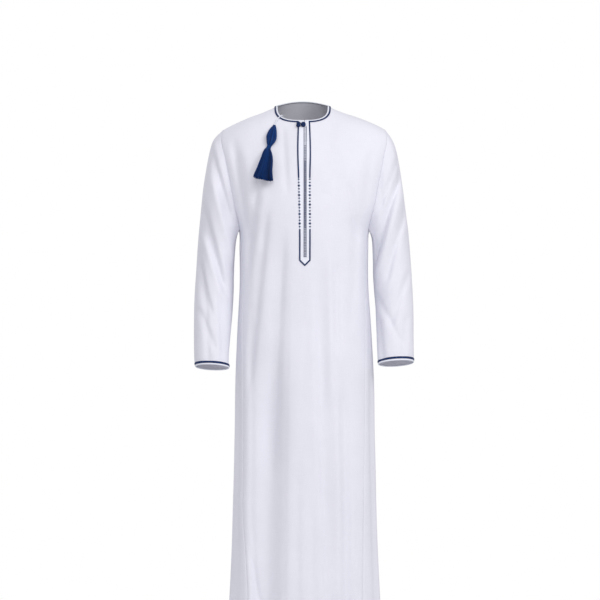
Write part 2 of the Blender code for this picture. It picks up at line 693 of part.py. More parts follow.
def on_front(line):
    """Places and normals on the front along a line of (x, down)."""
    x, down = np.array(line, float).T
    return face_place(FRONT, x, down), face_normal(FRONT, x, down)


def placket_side(side, down, inset=0.0):
    down = np.asarray(down, float)
    return PLACKET.at("middle", down) + side * (PLACKET.at("half", down) - inset)


def build_neck(cloth, navy):
    angles = neck_angles(SLIT_HALF + SEAM, -SLIT_HALF - SEAM)
    stations = [neck_curve(angle, -BINDING_HALF - SEAM) for angle in angles]
    strip("neck_binding", *zip(*stations), BINDING_HALF, -0.0016, 0.0010, cloth)
    reach = BRAID_HALF + 0.001 + SEAM
    first, last = placket_side(LEFT, 0.044) + reach, placket_side(RIGHT, 0.044) - reach
    stations = [neck_curve(angle, NECK_BRAID_OUT) for angle in neck_angles(first, last)]
    strip("neck_braid", *zip(*stations), NECK_BRAID_HALF, NECK_LIFT, NECK_LIFT + TRIM, navy)


def build_placket(cloth, navy, grey):
    """The strip over the slit, its band and tab, and the braid on its edges."""
    top = float(neck_down(FRONT, 0.0)) + 0.0008
    downs = front_rows_between(top, PLACKET_CORNER)
    places, normals = [], []
    for down in downs:
        right, left = placket_side(RIGHT, down), placket_side(LEFT, down)
        across = [right, -SLIT_HALF, SLIT_HALF, left]
        row, row_normals = on_front([(x, down) for x in across])
        places.append(row)
        normals.append(row_normals)
    tip = float(PLACKET.at("middle", PLACKET_TIP))
    blunt = (-0.0012, -0.0004, 0.0004, 0.0012)
    row, row_normals = on_front([(tip + dx, PLACKET_TIP) for dx in blunt])
    places.append(row)
    normals.append(row_normals)
    places, normals = np.array(places), np.array(normals)
    outer = places + normals * (LIFT + TRIM)
    slit_rows = sum(down < SLIT_END for down in downs) - 1
    shell("placket", outer, normals * TRIM / CLOTH, cloth, (1, slit_rows))

    above = LIFT + TRIM + SEAM
    line = [(BAND_X, d) for d in front_rows_between(BAND_TOP, BAND_END)]
    strip("placket_band", *on_front(line), BAND_HALF, above, above + TRIM, grey)

    tab, tab_normals = on_front([(TAB_X, d) for d in front_rows_between(TAB_TOP + 0.006, TAB_END)])
    rise = Vector(tab[0]) - Vector(tab[1])
    stand = Vector(tab[0]) + rise.normalized() * TAB_RISE
    strip(
        "placket_tab",
        [stand, *tab],
        [tab_normals[0], *tab_normals],
        TAB_HALF,
        above,
        above + TRIM,
        cloth,
    )

    for side, word in ((RIGHT, "right"), (LEFT, "left")):
        downs = front_rows_between(BRAID_TOPS[side], BRAID_TOP_END)
        line = [(float(placket_side(side, d)), d) for d in downs]
        strip("placket_braid_" + word, *on_front(line), BRAID_HALF, above, above + TRIM, navy)
    downs = front_rows_between(BRAID_LOW_TOP, PLACKET_CORNER)
    line = [(float(placket_side(RIGHT, d)), d) for d in downs]
    line += [(tip, PLACKET_TIP)]
    line += [(float(placket_side(LEFT, d)), d) for d in reversed(downs)]
    strip("placket_braid_point", *on_front(line), BRAID_HALF, above, above + TRIM, navy)


def build_knot(navy):
    """The knot button beside the slit and the loop that it goes through."""
    for name, x, size in (
        ("neck_knot", -0.0034, (0.0061, 0.0040, 0.0074)),
        ("neck_loop", -0.0152, (0.0050, 0.0034, 0.0076)),
    ):
        (place,), (normal,) = on_front([(x, 0.0500)])
        lift = LIFT + 2 * TRIM + 2 * SEAM + size[1] + 0.0010
        bm = bmesh.new()
        bmesh.ops.create_uvsphere(bm, u_segments=14, v_segments=9, radius=1.0)
        bmesh.ops.scale(bm, vec=size, verts=bm.verts[:])
        bmesh.ops.translate(bm, vec=Vector(place + normal * lift), verts=bm.verts[:])
        add_object(name, bm, navy)


# ---------------------------------------------------------------- tassel


def tassel_ring(row, sides=14):
    """A ring of the tassel, lying on the front just clear of it."""
    half = float(TASSEL.at("half", row))
    x, down = float(TASSEL.at("x", row)), float(TASSEL.at("down", row))
    deep = half * TASSEL_DEPTH
    highest = min(float(face_y(FRONT, x + dx, down)) for dx in (-half, 0.0, half))
    y = highest - TASSEL_LIFT - deep
    axis = Vector((-0.20, 0.0, -0.98))
    across = Vector((0.98, 0.0, -0.20))
    middle = Vector((x, y, -down))
    angles = [2 * math.pi * i / sides for i in range(sides)]
    return axis, [
        middle + across * half * math.cos(a) + Vector((0, deep * math.sin(a), 0)) for a in angles
    ]


def build_tassel(cloth, navy):
    for name, top, low, steps in (
        ("tassel_head", 0.0, 5.6, 10),
        ("tassel_wrap", 5.66, 6.34, 3),
        ("tassel_skirt", 6.4, 13.0, 9),
    ):
        rings = [tassel_ring(row)[1] for row in np.linspace(top, low, steps)]
        loft(name, rings, navy)
    axis, ring = tassel_ring(0.0)
    end = sum(ring, Vector()) / len(ring) - axis * 0.0012
    hung = math.asin((CORD_X - NECK_X) / (NECK_HALF + NECK_BRAID_OUT))
    place, normal = neck_curve(hung, NECK_BRAID_OUT)
    start = place + normal * (NECK_LIFT + TRIM + CORD_HALF + SEAM * 2)
    bend = start + normal * 0.0012 + (end - start) * 0.3
    curve = bpy.data.curves.new("tassel_cord", "CURVE")
    curve.dimensions = "3D"
    curve.bevel_depth = CORD_HALF
    curve.bevel_resolution = 2
    curve.use_fill_caps = True
    spline = curve.splines.new("POLY")
    points = [quadratic(start, bend, end, i / 7) for i in range(8)]
    spline.points.add(len(points) - 1)
    for point, place in zip(spline.points, points):
        point.co = (*place, 1.0)
    curve.materials.append(cloth)
    bpy.context.scene.collection.objects.link(bpy.data.objects.new("tassel_cord", curve))


def quadratic(a, b, c, t):
    return a * (1 - t) ** 2 + b * 2 * t * (1 - t) + c * t * t


# ---------------------------------------------------------------- the robe


def build():
    for obj in list(bpy.data.objects):
        bpy.data.objects.remove(obj)
    cloth = make_material("white_suiting", (0.86, 0.87, 0.90), 0.75)
    navy = make_material("navy_braid", (0.015, 0.035, 0.13), 0.55)
    grey = make_material("grey_embroidery", (0.60, 0.62, 0.68), 0.65)
    front = build_panel(FRONT, cloth)
    back = build_panel(BACK, cloth)
    for side in (RIGHT, LEFT):
        top = build_side_panel(side, front, back, cloth)
        hole, hole_normals = armhole(side, front, back, top)
        build_sleeve(side, hole, hole_normals, cloth, navy)
    build_neck(cloth, navy)
    build_placket(cloth, navy, grey)
    build_knot(navy)
    build_tassel(cloth, navy)


build()
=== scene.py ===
import math
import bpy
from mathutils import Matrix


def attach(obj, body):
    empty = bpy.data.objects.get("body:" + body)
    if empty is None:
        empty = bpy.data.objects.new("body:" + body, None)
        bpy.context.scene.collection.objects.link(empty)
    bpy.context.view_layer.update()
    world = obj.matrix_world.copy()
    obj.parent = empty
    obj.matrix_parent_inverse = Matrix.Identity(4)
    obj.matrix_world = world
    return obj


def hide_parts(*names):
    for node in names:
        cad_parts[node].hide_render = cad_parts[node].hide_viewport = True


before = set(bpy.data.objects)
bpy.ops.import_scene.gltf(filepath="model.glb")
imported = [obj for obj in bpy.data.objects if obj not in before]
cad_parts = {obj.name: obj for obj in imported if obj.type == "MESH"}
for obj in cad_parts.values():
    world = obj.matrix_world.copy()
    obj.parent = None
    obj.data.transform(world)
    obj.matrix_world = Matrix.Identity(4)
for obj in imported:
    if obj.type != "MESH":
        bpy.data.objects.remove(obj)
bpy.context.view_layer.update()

from types import SimpleNamespace

import bmesh
import bpy
import numpy as np
from mathutils import Vector

# The worn robe's visual model. Metres, +Z up, the front faces -Y, the wearer's left is +X. "down"
# is the distance below the level where neck and shoulders meet.

# Sizes shared with the part
LENGTH = 1.47
NECK_X, NECK_HALF, NECK_BLEND = -0.005, 0.0705, 0.012
NECK_FRONT, NECK_BACK, NECK_SQUARE = 0.0415, 0.012, 3.0
SHOULDER, ARMPIT = 0.064, 0.332
ROUND = 2.2
SLIT_HALF, SLIT_END = 0.0006, 0.395
SIDE_SHARE = 0.58

# Cloth and trim
CLOTH = 0.0009
TRIM = 0.0011
LIFT = 0.0003
HEM = 0.030  # height of the turned-up hem
SEAM_DIP, SEAM_WIDTH = 0.0009, 0.0022  # the dip of a sewn seam
HEM_DIP, HEM_WIDTH = 0.0005, 0.0025  # and of the hem's stitching
THREAD_SIDES, FINE_SIDES, CORD_SIDES = 6, 5, 8  # faces round a thread's or a cord's tube
STITCH_PITCH, STITCH_LONG, STITCH_THICK = 0.0032, 0.0012, 0.00028
SEAM_PITCH, SEAM_LONG = 0.0040, 0.0014
SEAM_STITCH_IN, SHOULDER_STITCH_IN = 0.0030, 0.0035

RIGHT, LEFT = -1, 1  # the wearer's sides, as signs of X
FRONT, BACK = -1, 1  # the faces, as signs of Y

BANDS = ("yoke", "chest", "waist", "hem")
WORD = {RIGHT: "right", LEFT: "left"}


class Table:
    """Rows of numbers under named columns, read smoothly by the first column."""

    def __init__(self, names, *rows):
        self.names = names.split()
        self.rows = np.array(rows, float)

    def at(self, name, place):
        key, values = self.rows[:, 0], self.rows[:, self.names.index(name)]
        slopes = np.gradient(values, key)
        place = np.clip(place, key[0], key[-1])
        i = np.clip(np.searchsorted(key, place, side="right") - 1, 0, len(key) - 2)
        width = key[i + 1] - key[i]
        t = (place - key[i]) / width
        return (
            values[i] * (1 + 2 * t) * (1 - t) ** 2
            + values[i + 1] * t * t * (3 - 2 * t)
            + slopes[i] * width * t * (1 - t) ** 2
            + slopes[i + 1] * width * t * t * (t - 1)
        )


def named_rows(names, *rows):
    return [SimpleNamespace(**dict(zip(names.split(), row))) for row in rows]


def mm_rows(names, *rows):
    """Named rows of sizes that are written in millimetres."""
    return named_rows(names, *[[size / 1000 for size in row] for row in rows])


# The body by height: half widths and depths, and how far from the middle its panels' seams lie
BODY = Table(
    "down right left front back edge_right edge_left",
    (-0.08, 0.3, 0.3, 0.118, 0.112, 0.218, 0.2165),
    (0, 0.3, 0.3, 0.118, 0.112, 0.218, 0.2165),
    (0.064, 0.285, 0.285, 0.121, 0.12, 0.218, 0.2165),
    (0.085, 0.268, 0.266, 0.122, 0.122, 0.2225, 0.22),
    (0.14, 0.243, 0.241, 0.127, 0.127, 0.212, 0.211),
    (0.206, 0.222, 0.221, 0.131, 0.13, 0.1985, 0.198),
    (0.263, 0.205, 0.204, 0.133, 0.129, 0.188, 0.1875),
    (0.332, 0.176, 0.174, 0.133, 0.124, 0.1735, 0.1715),
    (0.39, 0.1742, 0.1708, 0.131, 0.116, 0.169, 0.1665),
    (0.46, 0.1735, 0.1705, 0.128, 0.11, 0.166, 0.164),
    (0.6, 0.1805, 0.1795, 0.128, 0.116, 0.164, 0.1625),
    (0.74, 0.186, 0.1865, 0.132, 0.13, 0.163, 0.1615),
    (0.87, 0.1865, 0.187, 0.135, 0.136, 0.163, 0.16),
    (1, 0.1885, 0.19, 0.137, 0.138, 0.164, 0.158),
    (1.07, 0.1905, 0.1917, 0.139, 0.14, 0.165, 0.1575),
    (1.2, 0.1945, 0.197, 0.142, 0.145, 0.157, 0.1555),
    (1.3, 0.1995, 0.2025, 0.146, 0.149, 0.152, 0.155),
    (1.47, 0.211, 0.214, 0.152, 0.158, 0.15, 0.156),
)
# The shoulder line from the neck out: how low it lies, and how each face rounds over to it
RIDGE = Table(
    "out down round_front full_front round_back full_back",
    (-0.0595, -0.058, 0.22, 0.66, 0.2, 1.38),
    (-0.035, -0.035, 0.215, 0.87, 0.2, 1.78),
    (-0.01, -0.009, 0.21, 1.3, 0.19, 2.2),
    (0, 0, 0.205, 1.45, 0.185, 2.2),
    (0.03, 0.015, 0.18, 1.8, 0.17, 2.2),
    (0.075, 0.031, 0.15, 2, 0.15, 2.1),
    (0.113, 0.047, 0.13, 2, 0.135, 2),
    (0.1475, 0.065, 0.12, 2, 0.12, 2),
    (0.17, 0.08, 0.12, 2, 0.12, 2),
    (0.21, 0.115, 0.12, 2, 0.12, 2),
)

# Folds, each from its top to its low end. bow is how far it curves to the left on the way, right
# and left are its half widths, and depth is how far it presses in: a ridge that stands out has a
# negative one. The rows of folds and puckers are in millimetres.
FOLD_COLUMNS = "x_top top x_low low bow depth right left"
FRONT_FOLDS = mm_rows(
    FOLD_COLUMNS,
    # the long one from under the placket to the hem, with the ridge on its left
    (-56, 300, -88, 1020, 0, 10, 30, 14),
    (-84, 600, -112, 1900, 0, 29, 42, 36),
    (-30, 380, -44, 1620, -4, -1.2, 8, 34),
    # from the right armpit
    (-120, 160, -158, 480, 0, 8.5, 16, 9),
    (-104, 200, -128, 420, 0, -2.2, 9, 12),
    (-96, 250, -152, 780, 0, 7.5, 18, 9),
    (-146, 520, -146, 1620, 4, 2.2, 16, 13),
    # the left half
    (32, 370, 70, 1700, 3, 8.5, 14, 22),
    (66, 360, 71, 840, 2, -3.6, 13, 12),
    (84, 400, 88, 680, 0, 4, 10, 9),
    (93, 640, 96, 1240, 0, -3.6, 14, 12),
    (101, 660, 117, 1700, 0, 10, 12, 16),
    (157, 360, 160, 720, 0, -3.6, 10, 8),
    (119, 200, 145, 380, 0, 4.8, 11, 10),
    (134, 280, 122, 620, 4, 4, 13, 13),
    (25, 440, 30, 960, 2, -1.8, 16, 14),
    # soft creases of the chest
    (-58, 40, -46, 250, 0, 2.6, 10, 8),
    (-192, 70, -152, 380, 0, 7, 12, 12),
    (-160, 100, -130, 320, 0, -3, 12, 14),
    (150, 100, 38, 270, -6, 2.8, 16, 16),
    (98, 120, 62, 360, 0, 2.2, 18, 14),
    (182, 100, 158, 300, 0, 3.6, 12, 12),
    # low down
    (-160, 1140, -112, 1360, 0, 4.2, 10, 8),
    (-18, 900, -24, 1620, 0, 3, 18, 12),
    (20, 980, 26, 1620, 0, 2.6, 14, 14),
    (52, 1050, 54, 1620, 0, -2.4, 12, 12),
)
BACK_FOLDS = mm_rows(
    FOLD_COLUMNS,
    (-20, 360, -36, 1600, 6, 8.5, 26, 14),
    (4, 440, -4, 1600, 4, -3.6, 16, 16),
    (-100, 180, -132, 560, 0, 5.5, 18, 12),
    (-85, 440, -108, 1600, 4, 7, 16, 22),
    (-66, 520, -78, 1600, 0, -3.4, 14, 14),
    (50, 420, 66, 1600, -8, 9, 18, 24),
    (84, 500, 92, 1300, 0, -3.4, 14, 14),
    (110, 200, 138, 580, 0, 5.5, 12, 18),
    (112, 660, 126, 1600, 0, 5.8, 14, 14),
    (-150, 800, -140, 1600, 0, 4, 12, 12),
    (30, 120, 12, 340, 0, 1.6, 20, 18),
    (-60, 100, -34, 320, 0, 1.8, 18, 20),
    (150, 900, 148, 1600, 0, -2.4, 10, 10),
)
FOLD_END = 0.20
FOLD_EDGE = 0.026

# Short puckers where a panel is gathered a little into its seam.
PUCKER_COLUMNS = "x down depth wide high"
PUCKERS = {
    FRONT: mm_rows(
        PUCKER_COLUMNS,
        (153, 922, 1.6, 10, 4),
        (152, 945, 1.4, 12, 4),
        (152, 990, 1.6, 11, 5),
        (151, 1064, 1.4, 12, 5),
        (152, 1130, 1, 10, 5),
        (-158, 900, 1.2, 10, 5),
        (-159, 960, 1.2, 11, 4),
        (-158, 1040, 1.4, 12, 5),
        (-150, 1210, 1.2, 10, 5),
    ),
    BACK: mm_rows(
        PUCKER_COLUMNS,
        (152, 910, 1.4, 11, 5),
        (151, 1010, 1.4, 12, 4),
        (-157, 940, 1.4, 11, 5),
        (-157, 1090, 1.4, 12, 5),
    ),
}

SLEEVE_COLUMNS = "row outer_x outer inner_x inner y deep tilt fade"
# The sleeves from armhole to cuff: their outer and inner edges, the middle's Y, the depth, how
# much a ring tilts forward, and how much of the armhole's own shape it keeps
SLEEVES = {
    RIGHT: Table(
        SLEEVE_COLUMNS,
        (0, 0.218, 0.064, 0.1755, 0.332, 0, 0.066, 0, 1),
        (1, 0.243, 0.09, 0.1785, 0.342, 0, 0.069, 0, 0.8),
        (2, 0.254, 0.122, 0.1815, 0.353, 0, 0.072, 0.02, 0.55),
        (3, 0.2635, 0.17, 0.184, 0.368, 0.001, 0.074, 0.03, 0.3),
        (4, 0.272, 0.225, 0.186, 0.39, 0.003, 0.074, 0.04, 0.12),
        (5, 0.2795, 0.3, 0.188, 0.42, 0.005, 0.072, 0.06, 0.03),
        (6, 0.285, 0.36, 0.189, 0.455, 0.005, 0.069, 0.09, 0),
        (7, 0.29, 0.43, 0.1895, 0.495, 0.002, 0.065, 0.14, 0),
        (8, 0.294, 0.5, 0.192, 0.54, -0.006, 0.06, 0.2, 0),
        (9, 0.2958, 0.56, 0.196, 0.585, -0.017, 0.054, 0.24, 0),
        (10, 0.296, 0.62, 0.1995, 0.635, -0.031, 0.047, 0.25, 0),
        (11, 0.295, 0.674, 0.2015, 0.68, -0.044, 0.0415, 0.22, 0),
        (12, 0.2925, 0.6945, 0.2012, 0.6985, -0.049, 0.0405, 0.21, 0),
    ),
    LEFT: Table(
        SLEEVE_COLUMNS,
        (0, 0.2165, 0.064, 0.1735, 0.332, 0, 0.066, 0, 1),
        (1, 0.235, 0.09, 0.1765, 0.342, 0, 0.069, 0, 0.8),
        (2, 0.247, 0.122, 0.1795, 0.353, 0, 0.072, 0.02, 0.55),
        (3, 0.256, 0.17, 0.1815, 0.368, 0.001, 0.074, 0.03, 0.3),
        (4, 0.264, 0.225, 0.1825, 0.39, 0.003, 0.074, 0.04, 0.12),
        (5, 0.274, 0.3, 0.1835, 0.42, 0.005, 0.072, 0.06, 0.03),
        (6, 0.2805, 0.36, 0.184, 0.455, 0.005, 0.069, 0.09, 0),
        (7, 0.286, 0.43, 0.1865, 0.495, 0.002, 0.065, 0.14, 0),
        (8, 0.2905, 0.5, 0.1905, 0.54, -0.006, 0.06, 0.2, 0),
        (9, 0.292, 0.56, 0.192, 0.585, -0.017, 0.054, 0.24, 0),
        (10, 0.2922, 0.62, 0.1935, 0.63, -0.031, 0.047, 0.25, 0),
        (11, 0.2925, 0.66, 0.195, 0.67, -0.043, 0.0415, 0.25, 0),
        (12, 0.2925, 0.683, 0.197, 0.689, -0.048, 0.0405, 0.22, 0),
    ),
}
HOLE_DIP, HOLE_DIP_ROWS = 0.0008, 0.05
CUFF_ROW, CUFF_STITCH_ROWS = 12, (11.30, 11.38)
CUFF_BRAID = 0.35  # the share of the sleeve's last row that the cuff's braid covers
CUFF_BRAID_HALF, CUFF_RIM, CUFF_RIM_THICK = 0.0030, 0.0042, 0.0024

# Folds of each sleeve's front and back faces, in the same columns as the body's.
SLEEVE_FOLDS = {
    (RIGHT, FRONT): mm_rows(
        FOLD_COLUMNS,
        (-260, 75, -190, 330, 0, 11, 16, 7),
        (-256, 170, -184, 440, 0, -3.6, 10, 10),
        (-284, 225, -204, 520, 0, 13, 16, 8),
        (-278, 330, -210, 540, 0, -4, 9, 10),
        (-290, 360, -258, 590, 0, 6, 10, 8),
        (-288, 405, -244, 570, 0, 5, 10, 7),
        (-288, 530, -230, 665, 0, 4.5, 11, 8),
        (-224, 480, -216, 700, 0, 4.5, 9, 10),
        (-262, 590, -256, 700, 0, 3, 8, 9),
    ),
    (LEFT, FRONT): mm_rows(
        FOLD_COLUMNS,
        (272, 140, 166, 486, -2, 16.5, 20, 7),
        (290, 150, 184, 486, -2, -4.5, 8, 10),
        (290, 235, 214, 490, -4, 7.5, 12, 7),
        (262, 110, 192, 300, 0, 6, 10, 7),
        (286, 430, 226, 600, 0, 5, 11, 8),
        (178, 485, 270, 650, 0, 4.5, 11, 10),
        (194, 550, 210, 700, 0, 5, 9, 9),
        (276, 550, 262, 690, 0, 3.6, 10, 7),
    ),
    (RIGHT, BACK): mm_rows(
        FOLD_COLUMNS,
        (-246, 110, -194, 330, 0, 5.4, 12, 12),
        (-272, 260, -208, 480, 0, 5.2, 10, 14),
        (-262, 200, -198, 400, 0, -3, 12, 12),
        (-220, 470, -268, 600, 0, 4.4, 12, 12),
        (-280, 480, -240, 560, 0, 3.4, 10, 10),
        (-226, 600, -222, 700, 0, 2.4, 9, 10),
    ),
    (LEFT, BACK): mm_rows(
        FOLD_COLUMNS,
        (240, 120, 190, 340, 0, 5.6, 12, 11),
        (262, 240, 200, 440, 0, 5, 14, 10),
        (250, 190, 192, 380, 0, -2.8, 12, 12),
        (276, 420, 224, 540, 0, 4.4, 11, 12),
        (210, 520, 266, 640, 0, 3.8, 12, 12),
        (220, 600, 218, 690, 0, 2.2, 9, 10),
    ),
}

# The placket
PLACKET = Table(
    "down middle half",
    (0.03, -0.0015, 0.014),
    (0.125, -0.0012, 0.0164),
    (0.195, -0.0007, 0.0148),
    (0.36, 0.001, 0.0134),
    (0.414, 0.0008, 0.0134),
)
PLACKET_CORNER, PLACKET_TIP = 0.414, 0.4275
BRAID_TOP_END, BRAID_LOW_TOP = 0.195, 0.331
BRAID_TOPS = {RIGHT: 0.0530, LEFT: 0.0425}
BRAID_HALF, NECK_BRAID_HALF = 0.0020, 0.0022
NECK_BRAID_OUT, RIM_HALF, RIM_LAP = 0.0032, 0.0021, 0.0010
NECK_LIFT, RIM_LOW, RIM_HIGH = 0.0009, -0.0016, 0.0011
NECK_STITCH_OUT, SLIT_ROOM = 0.0044, 0.0010
BAND_X, BAND_HALF, BAND_TOP, BAND_END = 0.0016, 0.0042, 0.058, 0.406
TAB_X, TAB_HALF, TAB_TOP, TAB_END, TAB_RISE = 0.0084, 0.0021, 0.0390, 0.0960, 0.0060
RUNGS_TOP, RUNG_PITCH = 0.110, 0.0042
RAIL_OUT, RAIL_LIFT, RAIL_THICK = 0.0031, 0.0003, 0.00055
CHAIN_TOP, CHAIN_PITCH, CROSSES = 0.150, 0.0056, 32
FIRST_DOT, DOT_PITCH, DOTS = 0.1987, 0.0084, 16
KNOT_DOWN, KNOT_LIFT, KNOT_TURNS, KNOT_CORD_HALF = 0.0540, 0.0050, 6, 0.0010
KNOTS = named_rows(
    "name node x across tall deep",
    ("knot_button", "neck_knot", -0.0034, 0.0052, 0.0066, 0.0030),
    ("knot_loop", "neck_loop", -0.0156, 0.0044, 0.0072, 0.0026),
)
BIG_DOT, SMALL_DOT, DOT_RISE = 0.0031, 0.0023, 0.0008
FACING_THICK, FACING_WALL, FACING_OUT, BAND_THICK = 0.0008, 0.0007, 0.0006, 0.0007
TOPSTITCH_TOP, TOPSTITCH_IN, TOPSTITCH_OUT = 0.050, 0.0034, 0.0036
TOPSTITCH_IN_END, TOPSTITCH_OUT_END = 0.404, 0.410

# The tassel, from its cord to the threads' ends: the middle line and half width.
TASSEL = Table(
    "row x down half",
    (0, -0.0802, 0.052, 0.0026),
    (1, -0.081, 0.0571, 0.005),
    (2, -0.0838, 0.0654, 0.009),
    (3, -0.0874, 0.0818, 0.0134),
    (4, -0.089, 0.0928, 0.0123),
    (5, -0.092, 0.1032, 0.0084),
    (6, -0.0944, 0.1105, 0.0048),
    (7, -0.0976, 0.118, 0.0079),
    (8, -0.0984, 0.126, 0.0121),
    (9, -0.0995, 0.1394, 0.0158),
    (10, -0.1019, 0.1528, 0.0182),
    (11, -0.106, 0.1716, 0.0213),
    (12, -0.109, 0.1877, 0.0253),
    (13, -0.1102, 0.2011, 0.028),
)
TASSEL_DEPTH, TASSEL_LIFT = 0.62, 0.0025
TASSEL_WAIST, SKIRT_TOP = 6.0, 6.15  # rows of the table
HEAD_THREADS, WINDINGS, SKIRT_THREADS, LOCKS = 84, 5, 620, 30
SKIRT_THREAD_HALF, WINDING_HALF, WINDING_OUT = 0.00042, 0.00065, 0.0006
CORE_SHARE = 0.9  # of the head's width
CORD_X, CORD_HALF, PLY_LAY = -0.0665, 0.0013, 0.0052


# ---------------------------------------------------------------- small tools


def smooth(t):
    t = np.clip(t, 0.0, 1.0)
    return t * t * (3 - 2 * t)


def unit(vectors):
    return vectors / np.maximum(np.linalg.norm(vectors, axis=-1, keepdims=True), 1e-12)


def lengths_along(places):
    """Distance along each line of places, along the first axis."""
    steps = np.linalg.norm(np.diff(places, axis=0), axis=-1)
    return np.concatenate([np.zeros((1, *steps.shape[1:])), np.cumsum(steps, axis=0)])


def join_ends(line):
    """The line with its first place once more at its end."""
    return np.concatenate([line, line[:1]])


def read_along(values, run, at):
    return np.stack([np.interp(at, run, column) for column in values.T], axis=-1)


def resample(places, normals, pitch):
    """Places, normals and directions at an even pitch along a line."""
    run = lengths_along(places)
    count = max(2, int(run[-1] / pitch))
    at = (np.arange(count) + 0.5) * run[-1] / count
    step = read_along(places, run, at + pitch / 4) - read_along(places, run, at - pitch / 4)
    return read_along(places, run, at), unit(read_along(normals, run, at)), unit(step)


# ---------------------------------------------------------------- the form of the body


def beyond_neck(x):
    middle = NECK_X * (1 - smooth((np.abs(x) - 0.08) / 0.12))
    return np.hypot(x - middle, NECK_BLEND) - math.hypot(NECK_HALF, NECK_BLEND)


def ridge_down(x):
    return RIDGE.at("down", beyond_neck(x))


def fold_depth(folds, x, down):
    total = np.zeros(np.broadcast(x, down).shape)
    for fold in folds:
        along = (down - fold.top) / (fold.low - fold.top)
        middle = fold.x_top + (fold.x_low - fold.x_top) * along
        middle = middle + fold.bow * 4 * along * (1 - along)
        across = (x - middle) / np.where(x < middle, fold.right, fold.left)
        ends = smooth(along / FOLD_END) * smooth((1 - along) / FOLD_END)
        total = total + fold.depth * ends * np.exp(-across * across)
    return total


def ripples(seed, count, width, height, depth, x_span, down_span):
    """Faint uneven creases of pressed cloth, as folds of their own."""
    rng = np.random.default_rng(seed)
    found = []
    for _ in range(count):
        x, down = rng.uniform(*x_span), rng.uniform(*down_span)
        high = height * rng.uniform(0.6, 1.6)
        lean = rng.normal(0, 0.10) * high
        side = width * rng.uniform(0.7, 1.5)
        found.append(
            SimpleNamespace(
                x_top=x - lean,
                top=down - high,
                x_low=x + lean,
                low=down + high,
                bow=rng.normal(0, 0.004),
                depth=depth * rng.normal(0, 1),
                right=side,
                left=side * rng.uniform(0.8, 1.3),
            )
        )
    return found


BODY_SPAN, CHEST_SPAN = ((-0.16, 0.16), (0.36, 1.45)), ((-0.19, 0.19), (0.08, 0.40))
FACE_RIPPLES = {
    face: ripples(seed, 90, 0.010, 0.09, low, *BODY_SPAN)
    + ripples(seed + 1, 30, 0.016, 0.07, high, *CHEST_SPAN)
    for face, seed, low, high in ((FRONT, 11, 0.00040, 0.00030), (BACK, 13, 0.00045, 0.00035))
}


def panel_edge(x, down):
    return np.where(x < 0, BODY.at("edge_right", down), BODY.at("edge_left", down))


def plain_depth(face, x, down):
    """Depth of the front or the back before any fold."""
    name = "front" if face == FRONT else "back"
    out = beyond_neck(x)
    half = np.where(x < 0, BODY.at("right", down), BODY.at("left", down))
    across = np.clip(np.abs(x) / half, 0, 1)
    depth = BODY.at(name, down) * (1 - across**ROUND) ** (1 / ROUND)
    t = np.clip((down - ridge_down(x)) / RIDGE.at("round_" + name, out), 0, 1)
    return depth * (1 - (1 - t) ** 2) ** (1 / RIDGE.at("full_" + name, out))


def face_y(face, x, down):
    """Y of the front or the back with its folds, the puckers and the dip into its seams."""
    depth = plain_depth(face, x, down)
    folds = fold_depth(FRONT_FOLDS if face == FRONT else BACK_FOLDS, x, down)
    folds = folds + fold_depth(FACE_RIPPLES[face], x, down)
    room = panel_edge(x, down) - np.abs(x)
    inside = smooth(room / FOLD_EDGE)
    puckers = sum(
        p.depth * np.exp(-(((x - p.x) / p.wide) ** 2) - ((down - p.down) / p.high) ** 2)
        for p in PUCKERS[face]
    )
    dip = SEAM_DIP * np.exp(-((room / SEAM_WIDTH) ** 2))
    hem = HEM_DIP * np.exp(-(((down - LENGTH + HEM) / HEM_WIDTH) ** 2))
    beside = smooth((np.abs(x) - 0.010) / 0.016) if face == FRONT else 1.0
    quiet = np.where(down < PLACKET_TIP + 0.02, beside, 1.0)
    return face * (depth - (folds * inside * quiet + puckers) * smooth(depth / 0.08) - dip - hem)


def face_place(face, x, down):
    return np.stack([x, face_y(face, x, down), -down], axis=-1)


def face_normal(face, x, down):
    """Outward normals, from the slopes of the face."""
    step = 0.0008
    low = np.maximum(down, ridge_down(x) + 2 * step)
    slope_x = (face_y(face, x + step, low) - face_y(face, x - step, low)) / (2 * step)
    slope_z = (face_y(face, x, low - step) - face_y(face, x, low + step)) / (2 * step)
    return unit(face * np.stack([-slope_x, np.ones_like(slope_x), -slope_z], axis=-1))


def neck_down(face, x):
    across = np.clip((x - NECK_X) / NECK_HALF, -1, 1)
    if face == FRONT:
        return NECK_FRONT * (1 - np.abs(across) ** NECK_SQUARE) ** (1 / NECK_SQUARE)
    return -NECK_BACK * (1 - across**2)


def neck_line(angles, out=0.0):
    """Places and normals round the neck at this distance out from the cloth's edge.

    An angle is 0 in the middle of the front and grows towards the wearer's left.
    """
    places, normals = [], []
    for shift in (-0.02, 0.0, 0.02):
        turned = angles + shift
        x = NECK_X + NECK_HALF * np.sin(turned)
        front = np.cos(turned) >= 0
        down = np.where(front, neck_down(FRONT, x), neck_down(BACK, x))
        down = np.maximum(down, ridge_down(x))
        y = np.where(front, face_y(FRONT, x, down), face_y(BACK, x, down))
        normal = np.where(front[:, None], face_normal(FRONT, x, down), face_normal(BACK, x, down))
        normal[:, 1] *= np.minimum(1.0, 3 * np.abs(np.cos(turned)))
        places.append(np.stack([x, y, -down], axis=-1))
        normals.append(unit(normal))
    aside = unit(np.cross(places[2] - places[0], normals[1]))
    return places[1] + aside * out, normals[1]


# ---------------------------------------------------------------- node groups


def set_inputs(tree, node, **values):
    """Feeds a node's named inputs, each from a socket or with a value; _ stands for a space."""
    for label, value in values.items():
        feed(tree, node.inputs[label.replace("_", " ")], value)


def feed(tree, socket, value):
    if isinstance(value, bpy.types.NodeSocket):
        tree.links.new(value, socket)
    elif value is not None:
        socket.default_value = value


